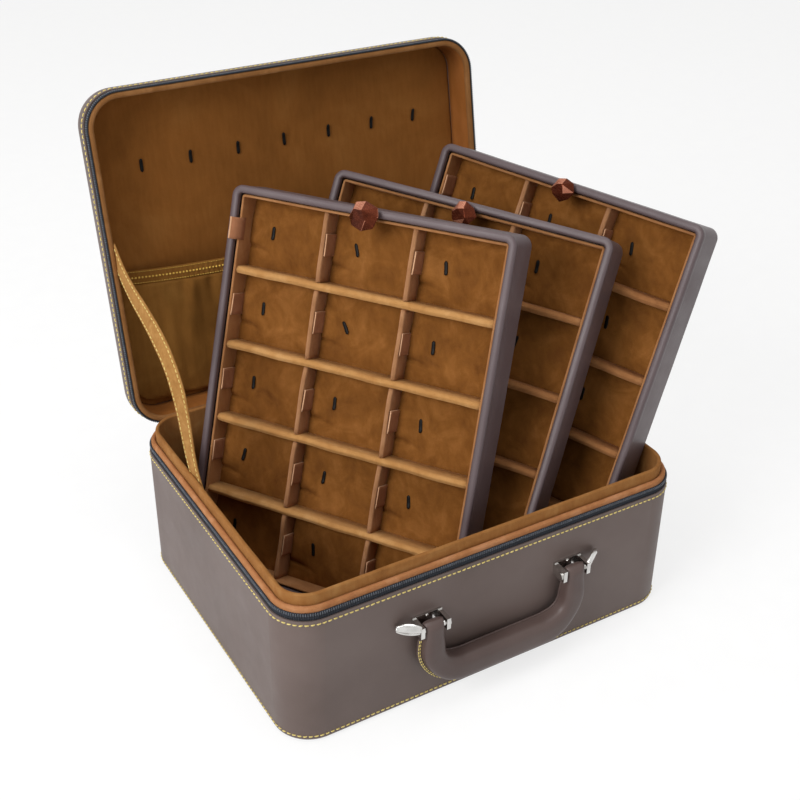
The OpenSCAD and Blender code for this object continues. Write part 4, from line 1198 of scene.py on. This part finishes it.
def build_ribbon(i, carry):
    """A satin ribbon tied in one full knot over the top rim, folded flat in facets."""
    node = f"tray_{i + 1}_ribbon"
    rng = np.random.default_rng(SEED + 60 + i)
    shift = rng.uniform(-0.1, 0.1, (len(KNOT), 3))
    small, sunk = KNOT_SIZES[i]
    middle = (TRAY_W / 2, -RIM_W / 2 - 3.0 * MM - sunk, 4.4 * MM * small)
    corners = (np.array(KNOT) + shift) * KNOT_HALF * small + middle
    bm = bmesh.new()
    for corner in corners:
        bm.verts.new(corner)
    bmesh.ops.convex_hull(bm, input=bm.verts)
    rounding = {"offset": 0.45 * MM, "segments": 2, "profile": 0.6, "affect": "EDGES", "clamp_overlap": True}
    bmesh.ops.bevel(bm, geom=bm.edges[:] + bm.verts[:], **rounding)
    data = bpy.data.meshes.new(node + "_satin")
    bm.to_mesh(data)
    bm.free()
    # Facets facing the light, and a thin band of others, take the lighter satin: a painted highlight
    for face in data.polygons:
        side = face.normal.dot(PAINTED_HIGHLIGHT_SIDE)
        face.material_index = 1 if side > 0.82 or 0.05 < side < 0.12 else 0
    moved = carry(np.array([v.co for v in data.vertices]))
    data.vertices.foreach_set("co", moved.ravel())
    data.update()
    data.polygons.foreach_set("use_smooth", [face.area < (2.5 * MM) ** 2 for face in data.polygons])
    ribbon = bpy.data.objects.new(node + "_satin", data)
    ribbon.data.materials.append(SATIN)
    ribbon.data.materials.append(SATIN_PAINTED_HIGHLIGHT)
    bpy.context.scene.collection.objects.link(ribbon)
    stand_for(ribbon, f"tray_{i + 1}", "satin", node)


# Camera, floor and light
CAMERA_AT = (-0.48565, -0.79988, 0.75848)
CAMERA_AZ, CAMERA_EL, CAMERA_ROLL = (math.radians(a) for a in (30.994, 31.402, 0.664))
CAMERA_LENS = 57.413
SENSOR = 36.0
FLOOR_HALF = 4.0
# Each light's name, place, target, size and power
LIGHTS = (
    ("key", (-2.2, -0.6, 1.6), (0, 0.05, 0.15), 1.4, 48),
    ("fill", (0.6, -2.2, 1.0), (0, 0, 0.15), 1.6, 1.5),
    ("top", (-0.1, 0.0, 2.4), (0, 0.1, 0.1), 1.6, 17),
)


def photo_camera():
    data = bpy.data.cameras.new("camera")
    data.lens = CAMERA_LENS
    data.sensor_width = SENSOR
    cam = bpy.data.objects.new("camera", data)
    level = math.cos(CAMERA_EL)
    ahead = Vector((math.sin(CAMERA_AZ) * level, math.cos(CAMERA_AZ) * level, -math.sin(CAMERA_EL)))
    right = ahead.cross(Vector((0, 0, 1))).normalized()
    up = right.cross(ahead)
    c, s = math.cos(CAMERA_ROLL), math.sin(CAMERA_ROLL)
    x, y = right * c + up * s, up * c - right * s
    cam.matrix_world = Matrix.Translation(CAMERA_AT) @ Matrix((x, y, -ahead)).transposed().to_4x4()
    bpy.context.scene.collection.objects.link(cam)
    bpy.context.scene.camera = cam


def area_light(name, at, target, size, power):
    data = bpy.data.lights.new(name, "AREA")
    data.shape = "DISK"
    data.size = size
    data.energy = power
    obj = bpy.data.objects.new(name, data)
    obj.location = at
    obj.rotation_euler = (Vector(target) - Vector(at)).to_track_quat("-Z", "Y").to_euler()
    bpy.context.scene.collection.objects.link(obj)


def camera_white(tree, under, white, share):
    """Shows plain white to the camera and to reflections, in place of a share of what is under it."""
    kinds = ("LightPath", "Math", "Math", "MixShader")
    path, add, part, mix = (tree.nodes.new("ShaderNode" + kind) for kind in kinds)
    add.use_clamp = True
    part.operation = "MULTIPLY"
    part.inputs[1].default_value = share
    tree.links.new(path.outputs["Is Camera Ray"], add.inputs[0])
    tree.links.new(path.outputs["Is Glossy Ray"], add.inputs[1])
    tree.links.new(add.outputs[0], part.inputs[0])
    tree.links.new(part.outputs[0], mix.inputs[0])
    tree.links.new(under, mix.inputs[1])
    tree.links.new(white, mix.inputs[2])
    return mix.outputs[0]


def studio():
    scene = bpy.context.scene
    scene.view_settings.view_transform = "Standard"
    corners = [(x * FLOOR_HALF, y * FLOOR_HALF, 0) for x, y in ((-1, -1), (1, -1), (1, 1), (-1, 1))]
    mesh_object("floor", corners, [(0, 1, 2, 3)], floor_look(), smooth=False)
    scene.world = bpy.data.worlds.new("studio")
    scene.world.use_nodes = True
    tree = scene.world.node_tree
    sky = tree.nodes["Background"]
    sky.inputs["Color"].default_value = (1.0, 0.99, 0.975, 1)
    sky.inputs["Strength"].default_value = 0.44
    white = tree.nodes.new("ShaderNodeBackground")
    white.inputs["Color"].default_value = (1, 1, 1, 1)
    seen = camera_white(tree, sky.outputs[0], white.outputs[0], 1.0)
    tree.links.new(seen, tree.nodes["World Output"].inputs["Surface"])
    for light in LIGHTS:
        area_light(*light)


def floor_look():
    """A pale floor that takes the object's shadow, brightened where the camera sees it."""
    k = Look("floor_white")
    colour = k.ramp(k.noise(40, detail=2), (0.3, "f4f4f4"), (0.7, "fafafa"))
    floor = k.surface(Base_Color=colour, Roughness=0.9, Specular_IOR_Level=0.1)
    shader, glow = k.tree.nodes["Principled BSDF"], k.node("Emission", Strength=1.04)
    seen = camera_white(k.tree, shader.outputs[0], glow.outputs[0], 0.72)
    k.plug(seen, k.tree.nodes["Material Output"].inputs["Surface"])
    return floor


photo_camera()
studio()
build_base()
build_lid()
build_pocket()
build_strap()
build_handle()
zip_sliders()
for number in range(3):
    build_tray(number)
